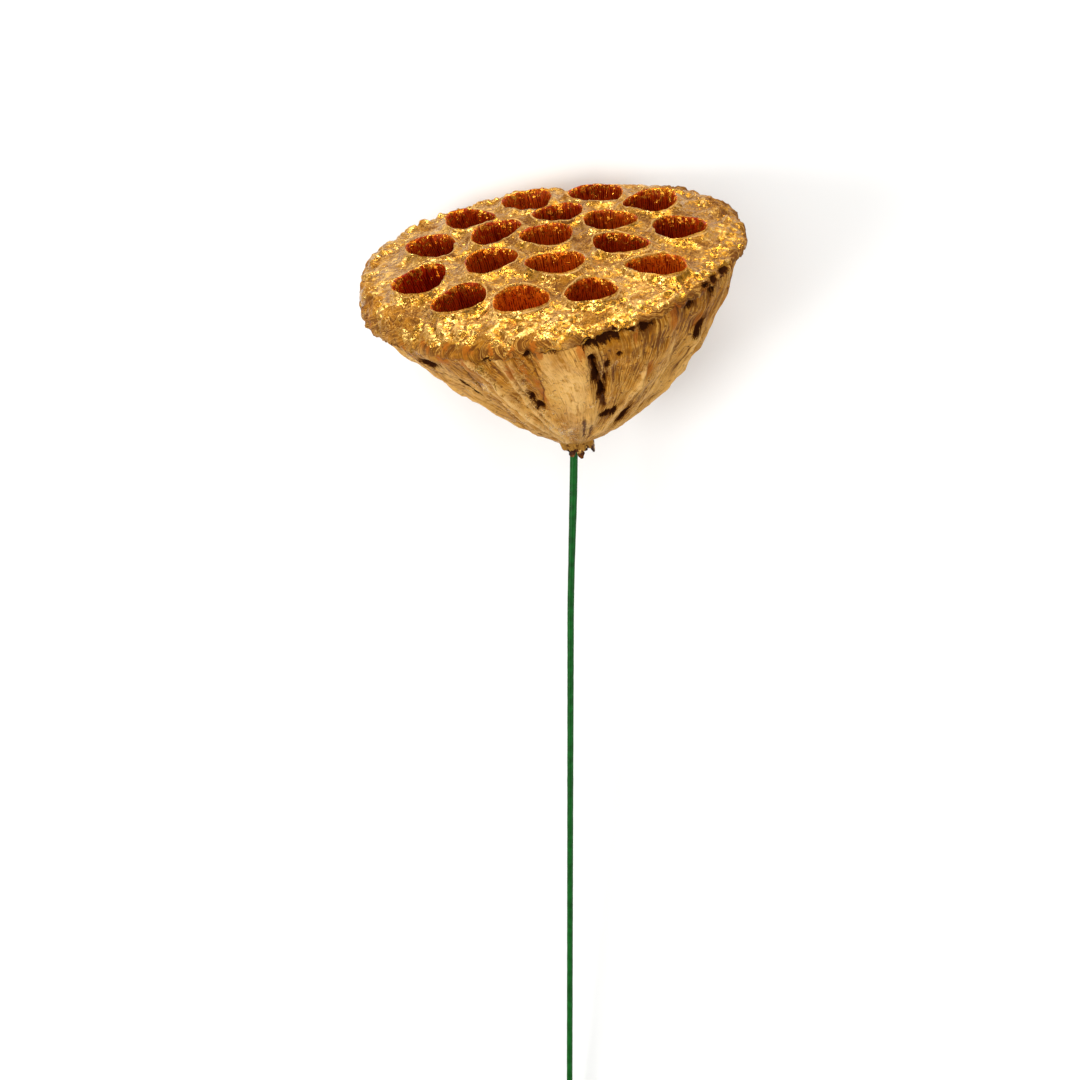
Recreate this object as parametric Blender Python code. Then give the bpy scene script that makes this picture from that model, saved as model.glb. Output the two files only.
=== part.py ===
"""A dried, gilded lotus pod on a coated wire stem, lying on a flat surface.

The pod grew as one piece, so it is one solid: a domed face with open seed cells, a rolled lip,
a ribbed wall that narrows to a ragged stub, and a blind hole in the stub for the wire.
The green coat and the steel wire inside it are solids of their own.

The pod is drawn in a frame of its own, with its axis along z and the middle of its face at zero,
and is then laid down: it rests on the edge of its lip and on the far end of the wire.
"""
import math
from functools import cache

import bpy
import numpy as np
from mathutils import Matrix, Vector
from mathutils.geometry import delaunay_2d_cdt

# Lengths here are in millimetres, and angles in degrees. MM turns a length into metres.
MM = 0.001

# The face: a shallow dome that drops with the square of the distance from its middle
FACE_DOME = 0.0019
CELL_RIM_HEIGHT = 0.7
FILLER_STEP = 5.5
FILLER_CLEARANCE = 1.1

# The lip, by bearing round the pod: 0 is the right of the face and 90 its back, which lies down
FACE_EDGE = (
    (0, 42.5), (35, 39.8), (63, 37.4), (85, 36.0), (104, 37.0), (122, 39.5), (135, 43.0),
    (152, 45.0), (168, 45.0), (194, 43.5), (228, 41.0), (270, 38.8), (318, 42.2),
)
RIM_RADIUS = (
    (0, 46.8), (45, 46.0), (75, 45.5), (104, 44.9), (120, 45.6), (140, 47.6), (156, 48.8), (172, 48.2),
    (188, 47.2), (240, 46.2), (300, 46.2),
)
LIP_DEPTH = (
    (0, 5.9), (45, 7.4), (90, 8.4), (140, 8.4), (180, 9.0), (215, 8.2),
    (242, 7.9), (262, 6.6), (285, 5.9), (310, 4.8), (335, 5.3),
)
# How the lip rolls over, from flat and late at the front to steep and early at the back
ROLL_REACH = ((0, 0.80), (90, 0.5), (150, 0.85), (200, 0.80), (270, 0.75))
ROLL_DROP = ((0, 0.26), (90, 0.50), (150, 0.16), (200, 0.24), (270, 0.28))
LIP_OVERHANG = 1.5
LIP_THICKNESS = 0.8
RIM_RUFFLE = 0.6
LIP_RUFFLE = 0.5
LIP_RUFFLE_SHIFT = 2.0
# Waves that add up to the rim's unevenness: how many go round, share, start in radians
RUFFLE_WAVES = ((3, 0.45, 0.7), (7, 0.30, 2.1), (13, 0.25, 4.0))

# The wall, from under the lip down to the stub, fuller on the right than on the left
WALL_TOP = 8.0
WALL_RADIUS_RIGHT = 43.3
WALL_RADIUS_LEFT = 46.5
WALL_SHOULDER_RIGHT = 1.3
WALL_SHOULDER_LEFT = 1.0
WALL_FOOT_RIGHT = 0.7
WALL_FOOT_LEFT = 0.86
POD_DEPTH = 52.0

# Ridges of the wall: bearing at the lip, bearing at the stub, height, half width in degrees
RIDGES = (
    (247, 243, 1.6, 7), (262, 262, 0.7, 5), (275, 293, 1.4, 5), (303, 302, 0.8, 7),
    (326, 322, 1.0, 8), (352, 347, 0.9, 8), (22, 26, 1.2, 9), (48, 44, 0.9, 7),
    (77, 84, 1.4, 9), (108, 101, 0.9, 7), (137, 141, 1.3, 9), (163, 158, 0.8, 7),
    (188, 195, 1.0, 8), (213, 211, 0.8, 7),
)
# Dents of the wall: bearing, way down from lip to stub as a fraction, depth, half width in degrees
DENTS = (
    (228, 0.45, 1.8, 12), (256, 0.62, 1.0, 8), (286, 0.35, 1.2, 6), (316, 0.50, 0.8, 14),
    (62, 0.50, 1.8, 12), (122, 0.40, 1.5, 12), (2, 0.50, 0.9, 10), (174, 0.55, 1.0, 9),
)
DENT_LENGTH = 0.28
# What is left of a ridge's height where it starts and ends
RIDGE_ENDS = 0.35
RIB_COUNT = 24
RIB_HEIGHT = 0.35
# Waves that space the ribs unevenly: how many go round, size and start in radians
RIB_WANDER = ((3, 1.5, 0.0), (5, 0.8, 1.0))
# Below this radius the folds fade out towards the stub
FOLD_FADE_RADIUS = 27.0

# The stub of the pod's own stalk
STUB_CENTRE = (-1.6, 0.0)
STUB_DRIFT = 2.5
STUB_RADIUS = 4.8
STUB_END_RADIUS = 3.8
STUB_NECK = 0.8
STUB_END = 55.0
STUB_RAGGEDNESS = 0.9
STUB_LUMPS = 0.5

# Seed cells: place on the face, width, height, slant of the mouth, bearing of its blunt corner
CELLS = (
    (13.5, 25.5, 13.5, 13.5, -0.25, 60),
    (26.0, 15.5, 13.5, 14.0, 0.00, 60),
    (-3.5, 27.5, 12.5, 13.0, -0.10, 50),
    (-18.5, 23.0, 12.5, 12.5, -0.30, 0),
    (3.5, 14.8, 12.5, 10.5, -0.10, 50),
    (15.0, 5.5, 13.0, 12.0, -0.28, 0),
    (31.0, -2.5, 13.0, 13.5, -0.20, 0),
    (-12.5, 9.8, 12.5, 12.5, 0.25, 10),
    (0.0, 2.0, 13.0, 13.0, -0.20, 50),
    (16.5, -8.5, 13.5, 11.5, -0.40, 0),
    (-28.0, 10.5, 12.5, 14.0, -0.25, 60),
    (-14.5, -6.0, 13.0, 14.0, 0.05, 0),
    (1.0, -14.0, 14.5, 12.0, -0.20, 40),
    (24.5, -21.5, 14.5, 11.5, -0.28, 60),
    (-31.5, -7.0, 13.5, 15.5, 0.25, 50),
    (-22.5, -21.5, 13.5, 14.0, 0.25, 70),
    (-8.5, -28.0, 13.5, 14.0, -0.10, 100),
    (8.0, -29.5, 12.5, 12.5, -0.10, 90),
)
CELL_CORNERING = 0.07
CELL_DEPTH = 14.0
# A cell leans towards the pod's axis as it goes down, by this share of its distance from it
CELL_LEAN = 0.12
# Rings of a cell: share of its depth, and width as a share of the mouth's
CELL_RINGS = ((0.10, 0.97), (0.50, 0.93), (0.85, 0.76), (1.0, 0.45))

# How the pod lies: its axis rises towards the face, and is turned a little to the left
AXIS_RISE = 20.0
AXIS_TURN = 9.8
REST_FLAT_DEPTH = 1.2

# The wire stem: a steel wire in a green coat, thicker near the pod, cut off plainly at the end
WIRE_LENGTH = 230.0
WIRE_IN_POD = 20.0
WIRE_RADIUS = 0.45
COAT_BORE_RADIUS = 0.56
COAT_RADIUS = ((0, 1.0), (35, 0.98), (50, 0.86), (100, 0.80), (150, 0.76), (230, 0.75))
WIRE_EXIT = (-2.6, -0.8)
WIRE_DRIFT = -0.7
WIRE_DRIFT_LENGTH = 45.0
FIT_GAP = 0.3

# Fineness of the meshes
AROUND_WALL = 108
AROUND_LOWER_WALL = 54
AROUND_STUB = 27
AROUND_HOLE = 12
AROUND_CELL = 18
AROUND_WIRE = 10
LIP_STEPS = 5
WALL_LEVELS = (0.03, 0.09, 0.16, 0.23, 0.30, 0.37, 0.44, 0.51, 0.58, 0.65, 0.72)
LOWER_WALL_LEVELS = (0.79, 0.85, 0.90, 0.94, 0.975)
WIRE_STEPS = 30
SMOOTH_ANGLE = 50.0

# Colours, as the photograph shows them
GILT_TAN = (0.52, 0.31, 0.09, 1.0)
COAT_GREEN = (0.012, 0.10, 0.016, 1.0)
STEEL = (0.45, 0.45, 0.44, 1.0)


def clear_scene():
    """Remove whatever the scene holds."""
    for item in list(bpy.data.objects):
        bpy.data.objects.remove(item, do_unlink=True)


def around(table, bearing):
    """Smooth value, at a bearing in radians, of a table of (degrees, value) that closes on itself."""
    degrees = math.degrees(bearing) % 360.0
    if degrees < table[0][0]:
        degrees += 360.0
    stops = list(table) + [(table[0][0] + 360.0, table[0][1])]
    for (low, first), (high, last) in zip(stops, stops[1:]):
        if degrees <= high:
            share = (degrees - low) / (high - low)
            return first + (last - first) * (1 - math.cos(math.pi * share)) / 2
    return table[0][1]


def along(table, distance):
    """Value at a distance along a table of (distance, value)."""
    return float(np.interp(distance, [row[0] for row in table], [row[1] for row in table]))


def bearings(count):
    """Evenly spaced bearings round the pod, in radians."""
    return [2 * math.pi * index / count for index in range(count)]


def turn_between(first, second):
    """Angle in degrees from one bearing to another, the short way round."""
    return (first - second + 180.0) % 360.0 - 180.0


def ruffle(bearing):
    """Uneven wave round the rim, between about -1 and 1."""
    return sum(share * math.sin(count * bearing + start) for count, share, start in RUFFLE_WAVES)


def cell_mouth(cell, count, scale=1.0, depth=0.0):
    """Points round a cell's mouth, or round the cell at a share of its depth, seen from above."""
    x, y, width, height, slant, corner = cell
    keep = 1.0 - CELL_LEAN * depth
    points = []
    for angle in bearings(count):
        swell = scale * (1 + CELL_CORNERING * math.cos(3 * (angle - math.radians(corner))))
        across = width / 2 * swell * math.cos(angle)
        upward = height / 2 * swell * math.sin(angle) + slant * across
        points.append((x * keep + across, y * keep + upward))
    return points


def dome_height(x, y):
    """Height of the smooth face."""
    return -FACE_DOME * (x * x + y * y)


def inside(point, outline):
    """Whether a point lies inside a closed outline."""
    x, y = point
    crossings = 0
    for (x1, y1), (x2, y2) in zip(outline, outline[1:] + outline[:1]):
        if (y1 > y) != (y2 > y) and x < x1 + (y - y1) * (x2 - x1) / (y2 - y1):
            crossings += 1
    return crossings % 2 == 1


class Shell:
    """Points and triangles of one closed surface."""

    def __init__(self):
        self.points = []
        self.triangles = []

    def ring(self, points):
        """Add points, and give their numbers."""
        start = len(self.points)
        self.points.extend(points)
        return list(range(start, start + len(points)))

    def bridge(self, first, second):
        """Join two rings that run the same way round, also where one has more points."""
        i = j = 0
        while i < len(first) or j < len(second):
            start = first[i % len(first)]
            across = second[j % len(second)]
            if (i + 1) * len(second) <= (j + 1) * len(first):
                self.triangles.append((start, across, first[(i + 1) % len(first)]))
                i += 1
            else:
                self.triangles.append((start, across, second[(j + 1) % len(second)]))
                j += 1

    def bridge_all(self, rings):
        """Join each ring to the next."""
        for first, second in zip(rings, rings[1:]):
            self.bridge(first, second)

    def cap(self, ring, middle):
        """Close a ring with a fan round a middle point."""
        centre = self.ring([middle])[0]
        for first, second in zip(ring, ring[1:] + ring[:1]):
            self.triangles.append((first, centre, second))


def add_face(shell):
    """Domed face between the cells' mouths. Returns its outer ring and the rings of the mouths."""
    outline = []
    for bearing in bearings(AROUND_WALL):
        radius = around(FACE_EDGE, bearing)
        outline.append((radius * math.cos(bearing), radius * math.sin(bearing)))
    mouths = [cell_mouth(cell, AROUND_CELL) for cell in CELLS]
    flat = list(outline)
    edges = [(index, (index + 1) % AROUND_WALL) for index in range(AROUND_WALL)]
    for mouth in mouths:
        start = len(flat)
        flat.extend(mouth)
        edges.extend((start + index, start + (index + 1) % AROUND_CELL) for index in range(AROUND_CELL))
    heights = [dome_height(x, y) for x, y in outline]
    heights += [dome_height(x, y) + CELL_RIM_HEIGHT for mouth in mouths for x, y in mouth]
    for point in filler_points(outline, mouths):
        flat.append(point)
        heights.append(dome_height(*point) - CELL_RIM_HEIGHT / 2)
    found = delaunay_2d_cdt([Vector(point) for point in flat], edges, [], 0, 1e-6)
    numbers = shell.ring([(x, y, z) for (x, y), z in zip(flat, heights)])
    sources = [origin[0] for origin in found[3]]
    for triangle in found[2]:
        corners = [sources[corner] for corner in triangle]
        middle = tuple(sum(flat[corner][axis] for corner in corners) / 3 for axis in (0, 1))
        if inside(middle, outline) and not any(inside(middle, mouth) for mouth in mouths):
            (x1, y1), (x2, y2), (x3, y3) = (flat[corner] for corner in corners)
            if (x2 - x1) * (y3 - y1) < (x3 - x1) * (y2 - y1):
                corners.reverse()
            shell.triangles.append(tuple(numbers[corner] for corner in corners))
    starts = [AROUND_WALL + AROUND_CELL * index for index in range(len(CELLS))]
    return numbers[:AROUND_WALL], [numbers[start:start + AROUND_CELL] for start in starts]


def filler_points(outline, mouths):
    """Points on a staggered grid over the face that keep clear of its edge and of every mouth."""
    borders = np.array(outline + [point for mouth in mouths for point in mouth])
    rows = int(max(radius for _, radius in FACE_EDGE) / FILLER_STEP) + 1
    points = []
    for row in range(-rows, rows + 1):
        for column in range(-rows, rows + 1):
            point = ((column + row % 2 / 2) * FILLER_STEP, row * FILLER_STEP * math.sqrt(0.75))
            clearance = np.hypot(*(borders - point).T).min()
            blocked = not inside(point, outline) or any(inside(point, mouth) for mouth in mouths)
            if not blocked and clearance > FILLER_CLEARANCE:
                points.append(point)
    return points


def add_cell(shell, cell, mouth_ring):
    """Walls and floor of one seed cell, below its mouth."""
    rings = [mouth_ring[::-1]]
    top = dome_height(cell[0], cell[1])
    for depth, scale in CELL_RINGS:
        outline = cell_mouth(cell, AROUND_CELL, scale, depth)
        level = top - CELL_DEPTH * depth
        rings.append(shell.ring([(x, y, level) for x, y in outline])[::-1])
    shell.bridge_all(rings)
    keep = 1.0 - CELL_LEAN
    shell.cap(rings[-1], (cell[0] * keep, cell[1] * keep, top - CELL_DEPTH))


def rim_reach(bearing):
    """Distance of the rim from the pod's axis."""
    return around(RIM_RADIUS, bearing) + RIM_RUFFLE * ruffle(bearing)


def lip_section(bearing):
    """Points (radius, height) of the lip, from the face's edge, over the roll and back under it."""
    inner = around(FACE_EDGE, bearing)
    start = Vector((inner, dome_height(inner, 0.0)))
    hang = around(LIP_DEPTH, bearing) - LIP_RUFFLE * ruffle(bearing + LIP_RUFFLE_SHIFT)
    edge = Vector((rim_reach(bearing), -hang))
    bend = start + Vector((
        (edge.x - start.x) * around(ROLL_REACH, bearing),
        (edge.y - start.y) * around(ROLL_DROP, bearing),
    ))
    points = []
    for step in range(1, LIP_STEPS + 1):
        share = step / LIP_STEPS
        points.append((1 - share) ** 2 * start + 2 * share * (1 - share) * bend + share ** 2 * edge)
    points.append(edge + Vector((-LIP_THICKNESS / 2, -LIP_THICKNESS)))
    points.append(edge + Vector((-LIP_OVERHANG, -LIP_THICKNESS / 2)))
    return points


def fold_height(bearing, level):
    """How far the wall stands out at a bearing, and a share of the way down, for its folds."""
    degrees = math.degrees(bearing)
    swell = math.sin(math.pi * level)
    height = 0.0
    for upper, lower, rise, width in RIDGES:
        turn = turn_between(degrees, upper + turn_between(lower, upper) * level)
        height += rise * math.exp(-(turn / width) ** 2) * (RIDGE_ENDS + (1 - RIDGE_ENDS) * swell)
    for middle, down, depth, width in DENTS:
        turn = turn_between(degrees, middle)
        height -= depth * math.exp(-(turn / width) ** 2 - ((level - down) / DENT_LENGTH) ** 2)
    wander = sum(size * math.sin(count * bearing + start) for count, size, start in RIB_WANDER)
    return height + RIB_HEIGHT * math.sin(RIB_COUNT * bearing + wander) * math.sqrt(max(swell, 0.0))


def wall_point(bearing, level):
    """Point of the wall at a bearing, and a share of the way from the lip down to the stub."""
    left = (1 - math.cos(bearing)) / 2
    widest = WALL_RADIUS_RIGHT + (WALL_RADIUS_LEFT - WALL_RADIUS_RIGHT) * left
    shoulder = WALL_SHOULDER_RIGHT + (WALL_SHOULDER_LEFT - WALL_SHOULDER_RIGHT) * left
    foot = WALL_FOOT_RIGHT + (WALL_FOOT_LEFT - WALL_FOOT_RIGHT) * left
    under_lip = around(LIP_DEPTH, bearing)
    depth = under_lip + (POD_DEPTH - under_lip) * level
    share = max(0.0, (depth - WALL_TOP) / (POD_DEPTH - WALL_TOP))
    radius = STUB_RADIUS + (widest - STUB_RADIUS) * (1 - share ** shoulder) ** foot
    radius = min(radius, rim_reach(bearing) - LIP_OVERHANG)
    radius += fold_height(bearing, level) * min(1.0, radius / FOLD_FADE_RADIUS)
    drift = (depth / POD_DEPTH) ** STUB_DRIFT
    return (
        radius * math.cos(bearing) + STUB_CENTRE[0] * drift,
        radius * math.sin(bearing) + STUB_CENTRE[1] * drift,
        -depth,
    )


def wall_rings(shell):
    """Rings of the lip and the wall, from the face's edge down, with fewer points near the stub."""
    sections = [lip_section(bearing) for bearing in bearings(AROUND_WALL)]
    rings = []
    for level in zip(*sections):
        rings.append(shell.ring([
            (radius * math.cos(bearing), radius * math.sin(bearing), height)
            for (radius, height), bearing in zip(level, bearings(AROUND_WALL))
        ]))
    for level in WALL_LEVELS:
        rings.append(shell.ring([wall_point(bearing, level) for bearing in bearings(AROUND_WALL)]))
    for level in LOWER_WALL_LEVELS:
        rings.append(shell.ring([wall_point(bearing, level) for bearing in bearings(AROUND_LOWER_WALL)]))
    return rings


def stub_rings(shell):
    """Rings of the stub, which flares a little and ends in an uneven torn edge."""
    rings = []
    for depth, radius in ((POD_DEPTH + STUB_NECK, STUB_RADIUS), (STUB_END, STUB_END_RADIUS)):
        share = (depth - POD_DEPTH) / (STUB_END - POD_DEPTH)
        points = []
        for bearing in bearings(AROUND_STUB):
            tear = STUB_RAGGEDNESS * ruffle(2 * bearing) * share
            reach = radius + STUB_LUMPS * ruffle(3 * bearing)
            points.append((
                STUB_CENTRE[0] + reach * math.cos(bearing),
                STUB_CENTRE[1] + reach * math.sin(bearing),
                -depth + tear,
            ))
        rings.append(shell.ring(points))
    return rings


@cache
def pod_rotation():
    """Turn from the pod's own frame to the way it lies."""
    rise = math.radians(AXIS_RISE)
    turn = math.radians(AXIS_TURN)
    right = Vector((math.cos(turn), math.sin(turn), 0.0))
    axis = Vector((-math.sin(turn) * math.cos(rise), math.cos(turn) * math.cos(rise), math.sin(rise)))
    return Matrix((right, axis.cross(right), axis)).transposed()


@cache
def pod_lift():
    """Height of the middle of the face, with the lip's lowest edge just below the floor."""
    rotation = pod_rotation()
    lowest = 0.0
    for bearing in bearings(AROUND_WALL):
        for radius, height in lip_section(bearing):
            point = Vector((radius * math.cos(bearing), radius * math.sin(bearing), height))
            lowest = min(lowest, (rotation @ point).z)
    return -lowest - REST_FLAT_DEPTH


def laid(point):
    """A point of the pod's own frame, on the pod as it lies."""
    return pod_rotation() @ Vector(point) + Vector((0.0, 0.0, pod_lift()))


@cache
def wire_exit():
    """Where the wire leaves the stub, as the pod lies."""
    return laid((*WIRE_EXIT, -STUB_END))


@cache
def wire_direction():
    """Direction in which the wire leaves the pod, down to where its end meets the floor."""
    run = WIRE_LENGTH - WIRE_IN_POD
    slope = math.asin((wire_exit().z - along(COAT_RADIUS, WIRE_LENGTH)) / run)
    return Vector((0.0, -math.cos(slope), -math.sin(slope)))


def wire_route():
    """Distances along the wire from its hidden end, each with its point, drifting slightly sideways."""
    points = []
    for step in range(WIRE_STEPS + 1):
        distance = WIRE_LENGTH * step / WIRE_STEPS
        outside = distance - WIRE_IN_POD
        share = min(1.0, max(0.0, outside / WIRE_DRIFT_LENGTH))
        drift = Vector((WIRE_DRIFT * share * share * (3 - 2 * share), 0.0, 0.0))
        points.append((distance, wire_exit() + wire_direction() * outside + drift))
    return points


def ring_across(centre, radius, count):
    """Points round the wire's line, in the plane square to the direction in which it leaves."""
    direction = wire_direction()
    side = Vector((1.0, 0.0, 0.0))
    over = direction.cross(side)
    return [tuple(centre + (side * math.cos(b) + over * math.sin(b)) * radius) for b in bearings(count)]


def add_wire_hole(shell, stub_end_ring):
    """Blind hole in the stub, a little wider and longer than the coat that stands in it."""
    radius = COAT_RADIUS[0][1] + FIT_GAP
    bottom = wire_exit() - wire_direction() * (WIRE_IN_POD + FIT_GAP)
    mouth = shell.ring(aligned(ring_across(wire_exit(), radius, AROUND_HOLE)))
    floor = shell.ring(aligned(ring_across(bottom, radius, AROUND_HOLE)))
    shell.bridge_all([stub_end_ring, mouth, floor])
    shell.cap(floor, tuple(bottom))


def aligned(ring):
    """A ring across the wire, in the order and from the bearing that the pod's own rings have."""
    rotation = pod_rotation().transposed()
    middle = sum((Vector(point) for point in ring), Vector()) / len(ring)

    def bearing(point):
        local = rotation @ (Vector(point) - middle)
        return math.atan2(local.y, local.x) % (2 * math.pi)

    return sorted(ring, key=bearing)


def make_pod():
    """The whole pod, as it lies, with a flat spot where its lip rests."""
    shell = Shell()
    face_edge, mouths = add_face(shell)
    for cell, mouth in zip(CELLS, mouths):
        add_cell(shell, cell, mouth)
    rings = [face_edge] + wall_rings(shell) + stub_rings(shell)
    shell.bridge_all(rings)
    shell.points = [tuple(laid(point)) for point in shell.points]
    add_wire_hole(shell, rings[-1])
    shell.points = [(x, y, max(z, 0.0)) for x, y, z in shell.points]
    return add_object("pod", shell, gilt_material())


def make_coat():
    """Green coat of the wire: a tube that is open at both ends."""
    shell = Shell()
    outer = []
    bore = []
    for distance, point in wire_route():
        radius = along(COAT_RADIUS, distance)
        outer.append(shell.ring(ring_across(point, radius, AROUND_WIRE))[::-1])
        bore.append(shell.ring(ring_across(point, COAT_BORE_RADIUS, AROUND_WIRE))[::-1])
    shell.bridge_all(outer + bore[::-1] + outer[:1])
    return add_object("stem_sleeve", shell, coat_material())


def make_wire():
    """Steel wire inside the coat."""
    shell = Shell()
    route = [point for _, point in wire_route()]
    rings = [shell.ring(ring_across(point, WIRE_RADIUS, AROUND_WIRE))[::-1] for point in route]
    shell.bridge_all(rings)
    shell.cap(rings[-1], tuple(route[-1]))
    shell.cap(rings[0][::-1], tuple(route[0]))
    return add_object("stem_wire", shell, steel_material())


def add_object(name, shell, material):
    """Make an object from a shell's points and triangles."""
    mesh = bpy.data.meshes.new(name)
    mesh.from_pydata([Vector(point) * MM for point in shell.points], [], shell.triangles)
    mesh.materials.append(material)
    mesh.shade_smooth()
    mesh.set_sharp_from_angle(angle=math.radians(SMOOTH_ANGLE))
    item = bpy.data.objects.new(name, mesh)
    bpy.context.scene.collection.objects.link(item)
    return item


def plain_material(name, colour, roughness, metallic):
    """Principled material of one colour."""
    material = bpy.data.materials.new(name)
    material.use_nodes = True
    shader = material.node_tree.nodes["Principled BSDF"]
    shader.inputs["Base Color"].default_value = colour
    shader.inputs["Roughness"].default_value = roughness
    shader.inputs["Metallic"].default_value = metallic
    return material


def gilt_material():
    """Tan dried pod with gold leaf rubbed over it."""
    return plain_material("gilded_pod", GILT_TAN, 0.42, 0.45)


def coat_material():
    """Satin green plastic."""
    return plain_material("green_coat", COAT_GREEN, 0.38, 0.0)


def steel_material():
    """Bare wire."""
    return plain_material("wire_steel", STEEL, 0.35, 1.0)


def centre_on_origin(items):
    """Slide everything so that the origin is below the middle of the whole object."""
    corners = [vertex.co for item in items for vertex in item.data.vertices]
    shift = Vector((
        -(min(c.x for c in corners) + max(c.x for c in corners)) / 2,
        -(min(c.y for c in corners) + max(c.y for c in corners)) / 2,
        0.0,
    ))
    for item in items:
        item.data.transform(Matrix.Translation(shift))
        item.data.update()


clear_scene()
centre_on_origin([make_pod(), make_coat(), make_wire()])
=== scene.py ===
"""Looks of a dried, gilded lotus pod on a coated wire stem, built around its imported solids.

The pod's skin is drawn in a frame of its own, in millimetres, with its axis along z and the middle
of its face at zero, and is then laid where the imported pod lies. Angles in tables are in degrees.
A place on the skin is a bearing round the pod, 0 at the right of the face and 90 at its back, and a
way down: from -1 at the face's edge to 0 at the lip's edge, and on to 1 at the stub.
"""
import math
import random
from types import SimpleNamespace

import bpy
import numpy as np
from mathutils import Matrix, Vector, noise
from mathutils.geometry import delaunay_2d_cdt


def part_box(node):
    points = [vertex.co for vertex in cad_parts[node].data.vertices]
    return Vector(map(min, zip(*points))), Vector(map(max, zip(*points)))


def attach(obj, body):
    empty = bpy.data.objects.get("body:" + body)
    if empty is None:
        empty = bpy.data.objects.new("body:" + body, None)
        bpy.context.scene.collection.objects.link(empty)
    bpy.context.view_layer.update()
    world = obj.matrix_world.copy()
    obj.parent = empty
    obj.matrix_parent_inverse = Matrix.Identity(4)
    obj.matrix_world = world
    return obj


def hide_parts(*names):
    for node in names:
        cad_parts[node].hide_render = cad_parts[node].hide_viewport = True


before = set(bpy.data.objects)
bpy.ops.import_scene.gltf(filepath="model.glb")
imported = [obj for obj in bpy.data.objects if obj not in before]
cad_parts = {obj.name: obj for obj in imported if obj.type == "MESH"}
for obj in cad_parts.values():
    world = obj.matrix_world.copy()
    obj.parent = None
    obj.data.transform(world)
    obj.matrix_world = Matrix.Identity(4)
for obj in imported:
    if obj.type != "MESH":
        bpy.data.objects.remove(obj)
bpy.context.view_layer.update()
MM = 0.001

# Where the pod lies: the middle of its face, and how its axis rises and turns
FACE_CENTRE = (-0.872, 124.222, 43.947)
AXIS_RISE = 20.0
AXIS_TURN = 9.8

# The face, the lip and the wall, as the solids have them
FACE_DOME = 0.0019
FACE_EDGE = (
    (0, 42.5), (35, 39.8), (63, 37.4), (85, 36.0), (104, 37.0), (122, 39.5), (135, 43.0),
    (152, 45.0), (168, 45.0), (194, 43.5), (228, 41.0), (270, 38.8), (318, 42.2),
)
RIM_RADIUS = (
    (0, 46.8), (45, 46.0), (75, 45.5), (104, 44.9), (120, 45.6), (140, 47.6), (156, 48.8), (172, 48.2),
    (188, 47.2), (240, 46.2), (300, 46.2),
)
LIP_DEPTH = (
    (0, 5.9), (45, 7.4), (90, 8.4), (140, 8.4), (180, 9.0), (215, 8.2),
    (242, 7.9), (262, 6.6), (285, 5.9), (310, 4.8), (335, 5.3),
)
ROLL_REACH = ((0, 0.80), (90, 0.5), (150, 0.85), (200, 0.80), (270, 0.75))
ROLL_DROP = ((0, 0.26), (90, 0.50), (150, 0.16), (200, 0.24), (270, 0.28))
LIP_OVERHANG = 1.5
LIP_THICKNESS = 0.8
RIM_RUFFLE = 0.6
LIP_RUFFLE = 0.5
LIP_RUFFLE_SHIFT = 2.0
RUFFLE_WAVES = ((3, 0.45, 0.7), (7, 0.30, 2.1), (13, 0.25, 4.0))
# Rings under the lip: in and down from its edge, in thicknesses of the lip
LIP_UNDERSIDE = ((0.12, 0.42), (0.45, 0.8), (1.0, 0.75), (1.5, 0.4))
WALL_TOP = 8.0
# Width of the wall, and how full its shoulder and its foot are, at the pod's right and at its left
WALL_RADIUS = (43.3, 46.5)
WALL_SHOULDER = (1.3, 1.0)
WALL_FOOT = (0.7, 0.86)
POD_DEPTH = 52.0
# Ridges: bearing at the lip, bearing at the stub, height, half width in degrees
RIDGES = (
    (247, 243, 1.6, 7), (262, 262, 0.7, 5), (275, 293, 1.4, 5), (303, 302, 0.8, 7),
    (326, 322, 1.0, 8), (352, 347, 0.9, 8), (22, 26, 1.2, 9), (48, 44, 0.9, 7),
    (77, 84, 1.4, 9), (108, 101, 0.9, 7), (137, 141, 1.3, 9), (163, 158, 0.8, 7),
    (188, 195, 1.0, 8), (213, 211, 0.8, 7),
)
# Dents: bearing, way down, depth, half width in degrees
DENTS = (
    (228, 0.45, 1.8, 12), (256, 0.62, 1.0, 8), (286, 0.35, 1.2, 6), (316, 0.50, 0.8, 14),
    (62, 0.50, 1.8, 12), (122, 0.40, 1.5, 12), (2, 0.50, 0.9, 10), (174, 0.55, 1.0, 9),
)
DENT_LENGTH = 0.28
RIDGE_ENDS = 0.35
RIB_COUNT = 24
RIB_HEIGHT = 0.35
RIB_WANDER = ((3, 1.5, 0.0), (5, 0.8, 1.0))
FOLD_FADE_RADIUS = 27.0
STUB_CENTRE = (-1.6, 0.0)
STUB_DRIFT = 2.5
STUB_RADIUS = 4.8
STUB_END_RADIUS = 3.8
STUB_END = 55.0
STUB_RAGGEDNESS = 0.9
STUB_LUMPS = 0.5

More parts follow.
